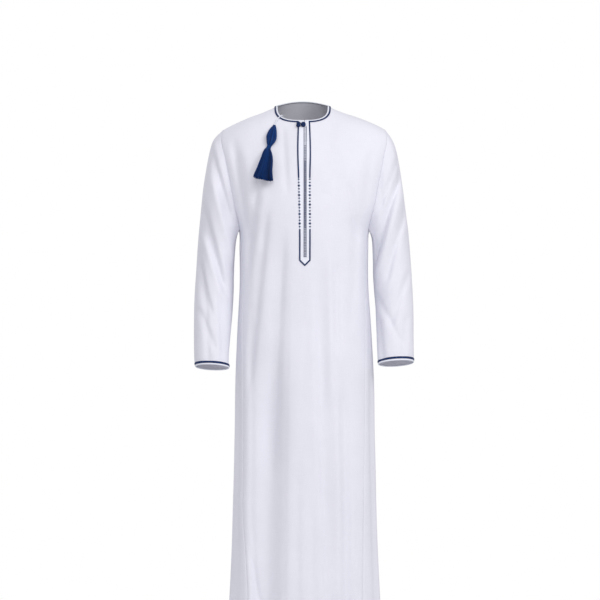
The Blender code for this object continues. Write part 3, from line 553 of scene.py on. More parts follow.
def add_node(tree, kind, **values):
    node = tree.nodes.new("ShaderNode" + kind)
    set_inputs(tree, node, **values)
    return node


def new_group(name, outputs, place, **values):
    """A shader node group that reads a place and these values.

    It gives its tree, the sockets that it reads and its end node.
    """
    group = bpy.data.node_groups.new(name, "ShaderNodeTree")
    group.interface.new_socket(name=place, in_out="INPUT", socket_type="NodeSocketVector")
    for label, value in values.items():
        socket = group.interface.new_socket(
            name=label.replace("_", " "), in_out="INPUT", socket_type="NodeSocketFloat"
        )
        socket.default_value = value
    for label in outputs:
        group.interface.new_socket(name=label, in_out="OUTPUT", socket_type="NodeSocketFloat")
    return group, group.nodes.new("NodeGroupInput").outputs, group.nodes.new("NodeGroupOutput")


def math_node(tree, operation, *values):
    """A Math node on sockets or numbers; it gives its output."""
    node = tree.nodes.new("ShaderNodeMath")
    node.operation = operation
    for socket, value in zip(node.inputs, values):
        feed(tree, socket, value)
    return node.outputs[0]


def noise_node(tree, vector, scale, detail=2.0, rough=0.5):
    values = {"Vector": vector, "Scale": scale, "Detail": detail, "Roughness": rough}
    return add_node(tree, "TexNoise", **values).outputs["Fac"]


def make_weave():
    """Fine suiting: warp and weft threads that pass over each other, uneven in thickness."""
    group, given, end = new_group(
        "Fine weave", ("Height", "Shade"), "Cloth Place", Thread_Pitch=0.0005, Slub=0.3
    )
    place = given["Cloth Place"]
    split = add_node(group, "SeparateXYZ", Vector=place).outputs
    waves, slubs = [], []
    for axis, stretch in enumerate(((900.0, 30.0, 1.0), (30.0, 900.0, 1.0))):
        count = math_node(group, "DIVIDE", split[axis], given["Thread Pitch"])
        waves.append(math_node(group, "SINE", math_node(group, "MULTIPLY", count, math.pi)))
        scaled = add_node(group, "VectorMath")
        scaled.operation = "MULTIPLY"
        feed(group, scaled.inputs[0], place)
        feed(group, scaled.inputs[1], stretch)
        slubs.append(noise_node(group, scaled.outputs[0], 1.0, 1.0))
    over = math_node(group, "MULTIPLY_ADD", math_node(group, "MULTIPLY", *waves), 0.5, 0.5)
    slub = math_node(group, "SUBTRACT", math_node(group, "ADD", *slubs), 1.0)
    uneven = math_node(group, "MULTIPLY", slub, given["Slub"])
    # Colour output: the slubs give an uneven tone, and the raised crossings are painted lighter, a
    # painted highlight on the thread crowns.
    shade = math_node(group, "MULTIPLY_ADD", uneven, 1.5, 0.25)
    shade = math_node(group, "MULTIPLY_ADD", over, 0.5, shade)
    set_inputs(group, end, Height=math_node(group, "ADD", over, uneven), Shade=shade)
    return group


def make_thread():
    """Threads laid side by side along the first coordinate, slanting a little over the second."""
    group, given, end = new_group(
        "Laid thread", ("Height", "Shade"), "Thread Place", Thread_Pitch=0.0006, Slant=0.4
    )
    place = given["Thread Place"]
    split = add_node(group, "SeparateXYZ", Vector=place).outputs
    run = math_node(group, "MULTIPLY_ADD", split[1], given["Slant"], split[0])
    count = math_node(group, "DIVIDE", run, given["Thread Pitch"])
    wave = math_node(group, "SINE", math_node(group, "MULTIPLY", count, math.pi))
    ridge = math_node(group, "ABSOLUTE", wave)
    one = add_node(group, "CombineXYZ", X=math_node(group, "FLOOR", count)).outputs[0]
    tone = add_node(group, "TexWhiteNoise", Vector=one).outputs["Value"]
    fine = noise_node(group, place, 700.0, 3.0)
    # Colour output: each thread's own random tone, plus a painted highlight along each thread's
    # crown.
    shade = math_node(group, "MULTIPLY_ADD", tone, 0.45, math_node(group, "MULTIPLY", ridge, 0.55))
    set_inputs(group, end, Height=math_node(group, "MULTIPLY_ADD", fine, 0.3, ridge), Shade=shade)
    return group


def make_tone():
    """Broad, faint unevenness of a finish over the whole piece."""
    group, given, end = new_group("Soft tone", ("Tone",), "Place", Size=6.0, Low=0.0, High=1.0)
    broad = noise_node(group, given["Place"], given["Size"], 3.0, 0.55)
    spread = add_node(
        group,
        "MapRange",
        Value=broad,
        From_Min=0.3,
        From_Max=0.7,
        To_Min=given["Low"],
        To_Max=given["High"],
    )
    set_inputs(group, end, Tone=spread.outputs["Result"])
    return group


WEAVE, THREAD, TONE = make_weave(), make_thread(), make_tone()


def place_group(tree, group, vector, **values):
    """The group in a material's tree, with its own values; it gives the group's outputs."""
    node = tree.nodes.new("ShaderNodeGroup")
    node.node_tree = group
    feed(tree, node.inputs[0], vector)
    set_inputs(tree, node, **values)
    return node.outputs


def mix_colours(tree, factor, low, high):
    node = tree.nodes.new("ShaderNodeMix")
    node.data_type = "RGBA"
    set_inputs(tree, node, Factor=factor, A=(*low, 1.0), B=(*high, 1.0))
    return node.outputs["Result"]


def new_material(name):
    """A material with its tree, its shader and the coordinates that it may read."""
    material = bpy.data.materials.new(name)
    material.use_nodes = True
    tree = material.node_tree
    return material, tree, tree.nodes["Principled BSDF"], add_node(tree, "TexCoord").outputs


def finish_surface(tree, shader, factor, colours, sheen, specular, height, bump, shade, rough):
    """Colours mixed by factor, sheen as (weight, roughness, tint), a bump, roughness by shade."""
    raised = add_node(tree, "Bump", Strength=1.0, Distance=bump, Height=height)
    spread = add_node(tree, "MapRange", Value=shade, To_Min=rough[0], To_Max=rough[1])
    set_inputs(
        tree,
        shader,
        Base_Color=mix_colours(tree, factor, *colours),
        Sheen_Weight=sheen[0],
        Sheen_Roughness=sheen[1],
        Sheen_Tint=(*sheen[2], 1.0),
        Specular_IOR_Level=specular,
        Normal=raised.outputs["Normal"],
        Roughness=spread.outputs["Result"],
    )


def cloth_material(name, low, high, pitch):
    """Woven white cloth: the weave, a broad faint tone and a soft nap. The weave's colour output
    carries a painted highlight on its raised crossings.
    """
    material, tree, shader, coordinates = new_material(name)
    place = coordinates["Object"]
    weave = place_group(tree, WEAVE, coordinates["UV"], Thread_Pitch=pitch, Slub=0.35)
    tone = place_group(tree, TONE, place, Size=7.0, Low=0.0, High=0.22)
    nap = noise_node(tree, place, 260.0, 3.0)
    # Colour: the weave's tone with its painted highlight on the raised crossings, plus the broad
    # faint tone.
    factor = math_node(tree, "MULTIPLY_ADD", weave["Shade"], 0.55, tone["Tone"])
    height = math_node(tree, "MULTIPLY_ADD", nap, 0.5, weave["Height"])
    finish_surface(
        tree,
        shader,
        factor,
        (low, high),
        sheen=(0.10, 0.5, (0.9, 0.94, 1.0)),
        specular=0.25,
        height=height,
        bump=0.00006,
        shade=weave["Shade"],
        rough=(0.72, 0.86),
    )
    return material


def thread_material(name, low, high, pitch, slant, bump):
    """Laid embroidery thread or braid. Each thread's colour carries its own random tone and a
    painted highlight along its crown.
    """
    material, tree, shader, coordinates = new_material(name)
    thread = place_group(tree, THREAD, coordinates["UV"], Thread_Pitch=pitch, Slant=slant)
    tone = place_group(tree, TONE, coordinates["Object"], Size=90.0, Low=-0.15, High=0.15)
    # Colour: the thread's random tone with its painted crown highlight, plus a faint broad tone.
    factor = math_node(tree, "ADD", thread["Shade"], tone["Tone"])
    finish_surface(
        tree,
        shader,
        factor,
        (low, high),
        sheen=(0.06, 0.35, (0.6, 0.7, 1.0)),
        specular=0.16,
        height=thread["Height"],
        bump=bump,
        shade=thread["Shade"],
        rough=(0.42, 0.62),
    )
    return material


def strand_material(name, low, high, sheen=0.06):
    """Single threads whose tone comes with each thread, with fine fibres along them."""
    material, tree, shader, coordinates = new_material(name)
    tones = add_node(tree, "Attribute")
    tones.attribute_name = "tone"
    fibre = noise_node(tree, coordinates["Object"], 900.0, 2.0)
    tone = math_node(tree, "MULTIPLY", tones.outputs["Fac"], 0.8)
    factor = math_node(tree, "MULTIPLY_ADD", fibre, 0.35, tone)
    finish_surface(
        tree,
        shader,
        factor,
        (low, high),
        sheen=(sheen, 0.3, (0.6, 0.75, 1.0)),
        specular=0.16,
        height=fibre,
        bump=0.00015,
        shade=fibre,
        rough=(0.38, 0.60),
    )
    return material


NAVY = (0.004, 0.012, 0.055), (0.016, 0.042, 0.150)
GREY = (0.40, 0.42, 0.50), (0.66, 0.68, 0.76)
TASSEL_BLUE = (0.0003, 0.004, 0.032), (0.004, 0.050, 0.225)
SUITING = cloth_material("white_suiting", (0.72, 0.725, 0.80), (0.86, 0.865, 0.93), 0.0007)
FACED = cloth_material("white_trim", (0.76, 0.79, 0.87), (0.88, 0.90, 0.97), 0.0006)
BRAID = thread_material("navy_braid", *NAVY, pitch=0.0007, slant=0.5, bump=0.00025)
GREY_BAND = thread_material("grey_embroidery", *GREY, pitch=0.0008, slant=0.0, bump=0.00020)
GREY_THREAD = strand_material("grey_thread", (0.06, 0.07, 0.12), (0.20, 0.22, 0.31))
NAVY_THREAD = strand_material("navy_thread", *NAVY)
WHITE_THREAD = strand_material("white_thread", (0.70, 0.73, 0.82), (0.88, 0.90, 0.97), sheen=0.15)
WHITE_CORD = strand_material("white_cord", (0.66, 0.69, 0.78), (0.88, 0.90, 0.96), sheen=0.2)
TASSEL_THREAD = strand_material("tassel_thread", *TASSEL_BLUE, sheen=0.03)


# ---------------------------------------------------------------- meshes


def link(name, mesh, material):
    mesh.materials.append(material)
    mesh.shade_smooth()
    obj = bpy.data.objects.new(name, mesh)
    bpy.context.scene.collection.objects.link(obj)
    return obj


def keep(obj, slot, *nodes):
    """The piece rides on the robe and stands for these nodes; slot is not used."""
    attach(obj, "root")
    if nodes:
        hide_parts(*nodes)
    return obj


def sheet_mesh(name, places, material, inside=None, uvs=None, slit=None, capped=False):
    """A sheet through rows and columns of places, facing away from the point inside it.

    With no such point it is a closed shape, which faces outwards.
    """
    rows, columns = places.shape[:2]
    if uvs is None:
        along = lengths_along(places).mean(axis=1)
        uvs = np.stack(np.meshgrid(lengths_along(places[rows // 2]), along), axis=-1)
    bm = bmesh.new()
    bmesh.ops.create_grid(bm, x_segments=columns - 1, y_segments=rows - 1, size=1.0)
    mesh = bpy.data.meshes.new(name)
    bm.to_mesh(mesh)
    flat = np.empty(len(mesh.vertices) * 3, np.float32)
    mesh.vertices.foreach_get("co", flat)
    flat = flat.reshape(-1, 3)
    column = np.rint((flat[:, 0] + 1) / 2 * (columns - 1)).astype(int)
    row = np.rint((flat[:, 1] + 1) / 2 * (rows - 1)).astype(int)
    mesh.vertices.foreach_set("co", places[row, column].astype(np.float32).ravel())
    corners = np.empty(len(mesh.loops), np.int32)
    mesh.loops.foreach_get("vertex_index", corners)
    layer = mesh.uv_layers.new(name="UVMap")
    layer.data.foreach_set("uv", uvs[row[corners], column[corners]].astype(np.float32).ravel())
    bm.clear()
    bm.from_mesh(mesh)
    if slit:
        for x in (-SLIT_HALF, SLIT_HALF):
            geom = bm.verts[:] + bm.edges[:] + bm.faces[:]
            bmesh.ops.bisect_plane(bm, geom=geom, plane_co=(x, 0, 0), plane_no=(1, 0, 0), dist=1e-6)
        middles = [(face, face.calc_center_median()) for face in bm.faces]
        gone = [face for face, at in middles if abs(at.x) < SLIT_HALF and at.z > -slit]
        bmesh.ops.delete(bm, geom=gone, context="FACES")
    bmesh.ops.remove_doubles(bm, verts=bm.verts[:], dist=2e-6)
    if capped:
        bmesh.ops.holes_fill(bm, edges=[e for e in bm.edges if e.is_boundary], sides=0)
    bmesh.ops.recalc_face_normals(bm, faces=bm.faces[:])
    if inside is None:
        facing = bm.calc_volume(signed=True)
    else:
        centre = Vector(inside)
        facing = sum(
            f.normal.dot(f.calc_center_median() - centre) * f.calc_area() for f in bm.faces
        )
    if facing < 0:
        bmesh.ops.reverse_faces(bm, faces=bm.faces[:])
    bm.to_mesh(mesh)
    bm.free()
    return link(name, mesh, material)


def give_wall(obj, thickness):
    wall = obj.modifiers.new("Cloth wall", "SOLIDIFY")
    wall.thickness = thickness
    wall.offset = -1.0
    wall.use_rim = True
    return obj


def strip_rings(places, normals, half, low, high, closed=False, square=False):
    """Rings of a flat strip with rounded edges, laid along places on a face."""
    angles = np.linspace(np.pi, 0, 11)
    power = 0.45 if square else 0.8
    s = np.sign(np.cos(angles)) * np.abs(np.cos(angles)) ** power
    t = np.sin(angles) ** power
    if closed:
        step = np.roll(places, -1, axis=0) - np.roll(places, 1, axis=0)
    else:
        step = np.gradient(places, axis=0)
    aside = unit(np.cross(step, normals))
    half, low, high = (np.broadcast_to(v, len(places))[:, None, None] for v in (half, low, high))
    rings = (
        places[:, None]
        + aside[:, None] * half * s[None, :, None]
        + normals[:, None] * (low + (high - low) * t[None, :, None])
    )
    rings = np.concatenate([rings, rings[:, :1]], axis=1)
    return join_ends(rings) if closed else rings


def strip(name, places, normals, half, low, high, material, closed=False, square=False):
    rings = strip_rings(places, normals, half, low, high, closed, square)
    run, across = lengths_along(rings.mean(axis=1)), lengths_along(rings[len(rings) // 2])
    uvs = np.stack(np.meshgrid(run, across, indexing="ij"), axis=-1)
    return sheet_mesh(name, rings, material, uvs=uvs, capped=not closed)


def lay_braid(name, node, places, normals, half, low, closed=False):
    braid = strip(name, places, normals, half, low, low + TRIM, BRAID, closed)
    keep(braid, "navy_braid", node)


def copies(name, template, places, material, tones):
    """One mesh of many copies of a template, each with its own places and tone."""
    count, corners_each = places.shape[:2]
    loops = np.empty(len(template.loops), np.int32)
    template.loops.foreach_get("vertex_index", loops)
    starts = np.empty(len(template.polygons), np.int32)
    template.polygons.foreach_get("loop_start", starts)
    shift = np.arange(count)[:, None]
    mesh = bpy.data.meshes.new(name)
    mesh.vertices.add(count * corners_each)
    mesh.vertices.foreach_set("co", places.astype(np.float32).ravel())
    mesh.loops.add(count * len(loops))
    mesh.loops.foreach_set("vertex_index", (loops + shift * corners_each).astype(np.int32).ravel())
    mesh.polygons.add(count * len(starts))
    mesh.polygons.foreach_set("loop_start", (starts + shift * len(loops)).astype(np.int32).ravel())
    mesh.update(calc_edges=True)
    layer = mesh.attributes.new("tone", "FLOAT", "POINT")
    layer.data.foreach_set("value", np.repeat(tones, corners_each).astype(np.float32))
    return link(name, mesh, material)


def template_mesh(bm):
    mesh = bpy.data.meshes.new("template")
    bmesh.ops.recalc_face_normals(bm, faces=bm.faces[:])
    bm.to_mesh(mesh)
    bm.free()
    places = np.empty(len(mesh.vertices) * 3, np.float32)
    mesh.vertices.foreach_get("co", places)
    return mesh, places.reshape(-1, 3).astype(float)


def tube_template(rows, sides):
    """A capped tube whose corners lie on rows 0 to rows - 1 and evenly round it."""
    bm = bmesh.new()
    bmesh.ops.create_cone(
        bm, cap_ends=True, segments=sides, radius1=1.0, radius2=1.0, depth=rows - 1.0
    )
    upright = [e for e in bm.edges if abs(e.verts[0].co.z - e.verts[1].co.z) > 0.5]
    bmesh.ops.subdivide_edges(bm, edges=upright, cuts=rows - 2, use_grid_fill=True)
    return template_mesh(bm)


def tubes(name, paths, radii, sides, material, tones):
    """Tubes along several paths of the same number of places, joined in one mesh."""
    count, rows = paths.shape[:2]
    template, corners = tube_template(rows, sides)
    row = np.rint(corners[:, 2] + (rows - 1) / 2).astype(int)
    turn = np.arctan2(corners[:, 1], corners[:, 0])
    along = unit(np.gradient(paths, axis=1))
    side = np.empty_like(along)
    side[:, 0] = unit(np.cross(along[:, 0], (0.31, 0.87, 0.38)))
    for i in range(1, rows):
        last, ahead = side[:, i - 1], along[:, i]
        side[:, i] = unit(last - ahead * (last * ahead).sum(-1, keepdims=True))
    up = np.cross(along, side)
    radii = np.broadcast_to(radii, (count, rows))[:, row, None]
    places = paths[:, row] + radii * (
        side[:, row] * np.cos(turn)[None, :, None] + up[:, row] * np.sin(turn)[None, :, None]
    )
    return copies(name, template, places, material, tones)


def beads(name, places, along, normals, sizes, material, seed, subdivisions=1):
    """Many small rounded beads: sizes are half sizes along, across and up from the cloth."""
    bm = bmesh.new()
    bmesh.ops.create_icosphere(bm, subdivisions=subdivisions, radius=1.0)
    template, corners = template_mesh(bm)
    sizes = np.broadcast_to(sizes, (len(places), 3))
    across = unit(np.cross(normals, along))
    out = places[:, None]
    for i, way in enumerate((along, across, normals)):
        out = out + way[:, None] * (sizes[:, i, None] * corners[None, :, i])[..., None]
    tones = np.random.default_rng(seed).uniform(0, 1, len(places))
    return copies(name, template, out, material, tones)


def sew(name, lines, seed, slot="white_trim", pitch=STITCH_PITCH, long=STITCH_LONG):
    """Rows of stitches along lines of places and normals."""
    even = [resample(places, normals, pitch) for places, normals in lines]
    places, normals, along = (np.concatenate(part) for part in zip(*even))
    places = places + normals * STITCH_THICK * 0.3
    size = (long, STITCH_THICK, STITCH_THICK)
    keep(beads(name, places, along, normals, size, WHITE_THREAD, seed), slot)


# ---------------------------------------------------------------- front, back and side panels

UPPER_ROWS, LOWER_ROWS, HEM_ROWS = 92, 150, 14
SIDE_COLUMNS, HOLE_PLACES = 41, 150
JOINED = 6  # columns that ease a side panel into a seam
SIDE_SEAM_SHARE, SIDE_EASE = 0.012, 0.12  # shares of a side panel's width


def row_shares():
    return (np.arange(UPPER_ROWS + 1) / UPPER_ROWS) ** 1.5


def lower_downs():
    """Heights of the rows below the armpit, closer at the hem."""
    plain = np.linspace(ARMPIT, LENGTH - HEM - 0.006, LOWER_ROWS + 1)[1:]
    return np.concatenate([plain, np.linspace(LENGTH - HEM - 0.004, LENGTH, HEM_ROWS)])


def panel_columns(count):
    """Shares of the half width, from the right edge to the left, closer at both edges."""
    rim = np.array([0.0, 0.004, 0.010, 0.018])
    return np.concatenate([rim - 1, np.linspace(-0.97, 0.97, count), 1 - rim[::-1]])


def panel_grid(face, count):
    """X and down of every corner of a panel, by row and column."""
    c = panel_columns(count)
    side = np.where(c < 0, RIGHT, LEFT)
    size = np.abs(c)
    in_neck = size <= SIDE_SHARE
    share = np.concatenate([row_shares(), np.ones(len(lower_downs()))])
    edge_down = np.concatenate([SHOULDER + (ARMPIT - SHOULDER) * row_shares(), lower_downs()])
    neck_x = NECK_X + NECK_HALF * side * np.sin(np.pi / 2 * np.clip(size / SIDE_SHARE, 0, 1))
    edge = panel_edge(np.broadcast_to(c, (len(share), len(c))), edge_down[:, None])
    out = np.clip((size - SIDE_SHARE) / (1 - SIDE_SHARE), 0, 1)
    top = neck_x + out * (side * edge - neck_x)
    spread = smooth(share / 0.75)[:, None]
    x = top + spread * (c * edge - top)
    tops = np.where(in_neck, neck_down(face, x[0]), ridge_down(x[0]))
    tops[0] = tops[-1] = SHOULDER
    down = np.where(
        edge_down[:, None] <= ARMPIT, tops + (ARMPIT - tops) * share[:, None], edge_down[:, None]
    )
    return x, down, in_neck


def make_panel(face, count):
    """The front or the back, in one cut; it gives back its places, for what joins it."""
    x, down, in_neck = panel_grid(face, count)
    places = face_place(face, x, down)
    places[0, ~in_neck, 1] = 0.0
    word = "front" if face == FRONT else "back"
    uvs = np.stack([x, -down], axis=-1)
    slit = SLIT_END if face == FRONT else None
    nodes = [f"{word}_{band}_{WORD[side]}" for band in BANDS for side in (RIGHT, LEFT)]
    obj = sheet_mesh(word + "_cloth", places, SUITING, (0.0, 0.0, -0.75), uvs, slit)
    return keep(give_wall(obj, CLOTH), "white_suiting", *nodes), places


def side_place(side, share, down):
    half = BODY.at(WORD[side], down)
    edge = BODY.at("edge_" + WORD[side], down)
    widest = np.arccos((edge / half) ** (ROUND / 2))
    angle = widest * (1 - 2 * share)
    depth = np.where(angle > 0, -BODY.at("front", down), BODY.at("back", down))
    x = half * np.cos(angle) ** (2 / ROUND)
    y = depth * np.abs(np.sin(angle)) ** (2 / ROUND)
    return np.stack(np.broadcast_arrays(side * x, y, -down), axis=-1)


SIDE_WAVES = named_rows(
    "share depth wide top low",
    (0.22, 0.0040, 0.07, 0.50, 1.60),
    (0.36, -0.0030, 0.06, 0.60, 1.60),
    (0.52, 0.0046, 0.07, 0.42, 1.60),
    (0.66, -0.0028, 0.06, 0.70, 1.60),
    (0.80, 0.0040, 0.07, 0.56, 1.60),
)


def make_side_panel(side, front, back):
    """The panel between the front's and the back's seams, below the armpit."""
    column = 0 if side == RIGHT else -1
    downs = np.concatenate([[ARMPIT], lower_downs()])
    shares = np.linspace(0, 1, SIDE_COLUMNS)
    places = side_place(side, shares[None, :], downs[:, None])
    press = np.zeros(places.shape[:2])
    for wave in SIDE_WAVES:
        centre = wave.share + 0.03 * np.sin(4 * downs[:, None] + 9 * wave.share + side)
        along = (downs[:, None] - wave.top) / (wave.low - wave.top)
        ends = smooth(along / 0.35) * smooth((1 - along) / 0.1)
        press += wave.depth * ends * np.exp(-(((shares - centre) / wave.wide) ** 2))
    dip = 0.0
    for room in (shares, 1 - shares):
        press *= smooth(room / SIDE_EASE)
        dip = dip + SEAM_DIP * np.exp(-((room / SIDE_SEAM_SHARE) ** 2))
    places[..., 0] -= side * (press + dip)
    for edge, panel in ((0, front), (-1, back)):
        gap = panel[UPPER_ROWS:, column] - places[:, edge]
        for j in range(JOINED):
            near = j if edge == 0 else -1 - j
            places[:, near] += gap * (1 - j / JOINED) ** 2
    obj = sheet_mesh("side_panel_cloth_" + WORD[side], places, SUITING, (0.0, 0.0, -0.9))
    return keep(give_wall(obj, CLOTH), "white_suiting", "side_panel_" + WORD[side]), places


# ---------------------------------------------------------------- sleeves and cuffs


def sleeve_frame(side, row):
    """Middles of the sleeve's rings, their reach out and forward, and their fade."""
    outer_x, outer, inner_x, inner, y, deep, tilt, fade = (
        SLEEVES[side].at(name, row) for name in SLEEVES[side].names[1:]
    )
    zero = np.zeros_like(outer)
    outer = np.stack([side * outer_x, zero, -outer], axis=-1)
    inner = np.stack([side * inner_x, zero, -inner], axis=-1)
    middle = (outer + inner) / 2 + np.stack([zero, y, zero], axis=-1)
    return middle, (outer - inner) / 2, np.stack([zero, -deep, tilt * deep], axis=-1), fade


SLEEVE_RIPPLES = {
    RIGHT: ripples(19, 46, 0.008, 0.05, 0.00045, (-0.29, -0.19), (0.10, 0.68)),
    LEFT: ripples(21, 46, 0.008, 0.05, 0.00045, (0.19, 0.29), (0.10, 0.68)),
}


def sleeve_places(side, rows, hole):
    """Places of a sleeve at rows from the armhole to the cuff; hole is its armhole."""
    middle, reach, forward, _ = (part[0] for part in sleeve_frame(side, np.array([0.0])))
    up = (hole - middle) @ reach / (reach @ reach)
    ahead = (hole - middle) @ forward / (forward @ forward)
    angles = np.unwrap(np.arctan2(ahead, up))
    shape = hole - (middle + np.outer(np.cos(angles), reach) + np.outer(np.sin(angles), forward))
    middle, reach, forward, fade = sleeve_frame(side, rows)
    cos, sin = np.cos(angles)[:, None], np.sin(angles)[:, None]
    out = cos * reach[:, None] + sin * forward[:, None]
    places = middle[:, None] + out + shape * fade[:, None, None]
    x, down = places[..., 0], -places[..., 2]
    press = fold_depth(SLEEVE_RIPPLES[side], x, down)
    for face in (FRONT, BACK):
        faces_it = smooth((face * -sin[:, 0] - 0.02) / 0.50)
        press = press + faces_it * fold_depth(SLEEVE_FOLDS[side, face], x, down)
    press = press * (smooth(rows / 0.8) * smooth((CUFF_ROW + 0.3 - rows) / 1.2))[:, None]
    dip = HOLE_DIP * np.exp(-((rows / HOLE_DIP_ROWS) ** 2))[:, None]
    return places - unit(out) * (press + dip)[..., None]


def armhole(side, front, back, side_top):
    """Places round an armhole, from the shoulder down the front and up the back."""
    column = 0 if side == RIGHT else -1
    ahead, behind = (panel[: UPPER_ROWS + 1, column] for panel in (front, back))
    ring = join_ends(np.concatenate([ahead, side_top[1:-1], behind[:0:-1]]))
    run = lengths_along(ring)
    return read_along(ring, run, np.linspace(0, run[-1], HOLE_PLACES + 1)[:-1])


def outward(loop, fall):
    """Normals of a loop round a sleeve, from the way that the cloth falls from it."""
    around = np.roll(loop, -1, axis=0) - np.roll(loop, 1, axis=0)
    normals = unit(np.cross(around, fall))
    return normals * np.sign(((loop - loop.mean(axis=0)) * normals).sum())


def make_sleeve(side, front, back, side_top):
    """A sleeve, with its cuff's braid, rim and stitching; it gives back the cloth."""
    word = WORD[side]
    hole = armhole(side, front, back, side_top)

    def ring(row, step=0.05):
        """The places round the sleeve at a row, their normals and the way the cloth falls."""
        first = min(row, CUFF_ROW - step)
        pair = sleeve_places(side, np.array([first, first + step]), hole)
        loop, fall = pair[int(row > first)], pair[1] - pair[0]
        return loop, outward(loop, fall), unit(fall)

    top_rows, cuff_rows = [0, 0.02, 0.05, 0.09, 0.15], np.linspace(11.56, CUFF_ROW, 7)
    rows = np.concatenate([top_rows, np.linspace(0.22, 11.5, 104), cuff_rows])
    places = sleeve_places(side, rows, hole)
    places[0] = hole
    places = np.concatenate([places, places[:, :1]], axis=1)
    cloth = sheet_mesh("sleeve_cloth_" + word, places, SUITING, places.mean(axis=(0, 1)))
    keep(give_wall(cloth, CLOTH), "white_suiting", "sleeve_" + word)

    middle, normal, _ = ring(CUFF_ROW - CUFF_BRAID / 2)
    names = "cuff_edge_braid_" + word, "cuff_braid_" + word
    lay_braid(*names, middle, normal, CUFF_BRAID_HALF, LIFT, closed=True)
    edge, normal, fall = ring(CUFF_ROW)
    angles = np.linspace(0, 2 * np.pi, 13)
    low = CUFF_RIM / 2 * (1 + np.cos(angles)) - 0.0002
    out = CUFF_RIM_THICK / 2 * np.sin(angles) - CUFF_RIM_THICK / 4
    rim = edge[:, None] + fall[:, None] * low[:, None] + normal[:, None] * out[:, None]
    rim = sheet_mesh("cuff_rim_" + word, join_ends(rim), FACED)
    keep(rim, "white_trim", "cuff_binding_" + word)
    lines = [[join_ends(part) for part in ring(row)[:2]] for row in CUFF_STITCH_ROWS]
    sew("cuff_stitches_" + word, lines, seed=31)
    line = [join_ends(part) for part in ring(0.10, 0.04)[:2]]
    sew("armhole_stitches_" + word, [line], seed=33, slot="white_suiting")
    return cloth


# ---------------------------------------------------------------- neck and placket


def line_on(x, down, face=FRONT):
    """Places and normals along a line on the front or the back."""
    x, down = np.broadcast_arrays(np.asarray(x, float), np.asarray(down, float))
    return face_place(face, x, down), face_normal(face, x, down)


def placket_side(side, down, inset=0.0):
    return PLACKET.at("middle", down) + side * (PLACKET.at("half", down) - inset)


def neck_angles(right, left, count):
    """Angles from this x on the left of the slit, round the back, to this one on its right."""
    start, end = (math.asin((x - NECK_X) / NECK_HALF) for x in (left, right))
    return np.linspace(start, end + 2 * math.pi, count)


def make_neck():
    angles = neck_angles(-SLIT_ROOM, SLIT_ROOM, 240)
    places, normals = neck_line(angles, RIM_LAP - RIM_HALF)
    rim = strip("neck_rim", places, normals, RIM_HALF, RIM_LOW, RIM_HIGH, FACED)
    keep(rim, "white_trim", "neck_binding")
    ends = placket_side(RIGHT, 0.044) + 0.0010, placket_side(LEFT, 0.044) + 0.0005
    places, normals = neck_line(neck_angles(*ends, 220), NECK_BRAID_OUT)
    lay_braid("neck_edge_braid", "neck_braid", places, normals, NECK_BRAID_HALF, NECK_LIFT)
    line = neck_line(neck_angles(*ends, 240), NECK_BRAID_OUT + NECK_STITCH_OUT)
    sew("neck_stitches", [line], seed=41)


def make_placket():
    """The faced strip over the slit, with its band, tab, braid, dots and topstitching."""
    top = neck_down(FRONT, 0.0) + 0.0006
    tip = np.linspace(PLACKET_CORNER + 0.001, PLACKET_TIP, 12)
    down = np.concatenate([np.linspace(top, PLACKET_CORNER, 100), tip])
    share = np.linspace(-1, 1, 25)
    narrow = np.clip((PLACKET_TIP - down) / (PLACKET_TIP - PLACKET_CORNER), 0.04, 1)
    half = (PLACKET.at("half", down) + FACING_OUT) * narrow
    x = PLACKET.at("middle", down)[:, None] + half[:, None] * share
    places, normals = line_on(x, down[:, None])
    roll = 1 - np.clip((np.abs(share) - 0.94) / 0.06, 0, 1) ** 2
    outer = places + normals * (LIFT + FACING_THICK * roll)[:, None]
    uvs = np.stack(np.broadcast_arrays(x, -down[:, None]), axis=-1)
    facing = sheet_mesh("placket_facing", outer, FACED, (0.0, 0.0, -0.2), uvs, SLIT_END)
    keep(give_wall(facing, FACING_WALL), "white_trim", "placket")
    above = LIFT + FACING_THICK

    line = line_on(BAND_X, np.linspace(BAND_TOP, BAND_END, 150))
    band = strip("band_ground", *line, BAND_HALF, above, above + BAND_THICK, GREY_BAND, square=True)
    keep(band, "grey_embroidery", "placket_band")
    make_band_work(above + BAND_THICK)
    make_tab(above)
    make_placket_braid(above)

    down = FIRST_DOT + DOT_PITCH * np.arange(DOTS)
    size = np.where(np.arange(DOTS) % 3 == 2, BIG_DOT, SMALL_DOT)
    rows = [line_on(placket_side(side, down), down) for side in (RIGHT, LEFT)]
    places, normals = (np.concatenate(part) for part in zip(*rows))
    sizes = np.concatenate([size, size])
    sizes = np.stack([sizes, sizes, np.full_like(sizes, DOT_RISE)], axis=1)
    along = np.broadcast_to((0.0, 0.0, -1.0), places.shape)
    places = places + normals * above
    dots = beads("placket_dots", places, along, normals, sizes, NAVY_THREAD, 51, subdivisions=3)
    keep(dots, "navy_braid")

    lines = []
    for side in (RIGHT, LEFT):
        down = np.linspace(TOPSTITCH_TOP, TOPSTITCH_IN_END, 200)
        places, normals = line_on(placket_side(side, down, TOPSTITCH_IN), down)
        lines.append((places + normals * above, normals))
        down = np.linspace(TOPSTITCH_TOP, TOPSTITCH_OUT_END, 200)
        lines.append(line_on(placket_side(side, down, -TOPSTITCH_OUT), down))
    sew("placket_stitches", lines, seed=52, pitch=0.0028, long=0.0010)


def make_tab(above):
    """The white end of the overlap, which stands a little above the neck."""
    places, normals = line_on(TAB_X, np.linspace(TAB_TOP + TAB_RISE, TAB_END, 40))
    rise = unit(places[0] - places[1]) * TAB_RISE
    places = np.concatenate([places[0] + np.outer((1.0, 0.66, 0.33), rise), places])
    normals = np.concatenate([np.repeat(normals[:1], 3, axis=0), normals])
    tab = strip("slit_tab", places, normals, TAB_HALF, above, above + TRIM, FACED, square=True)
    keep(tab, "white_trim", "placket_tab")


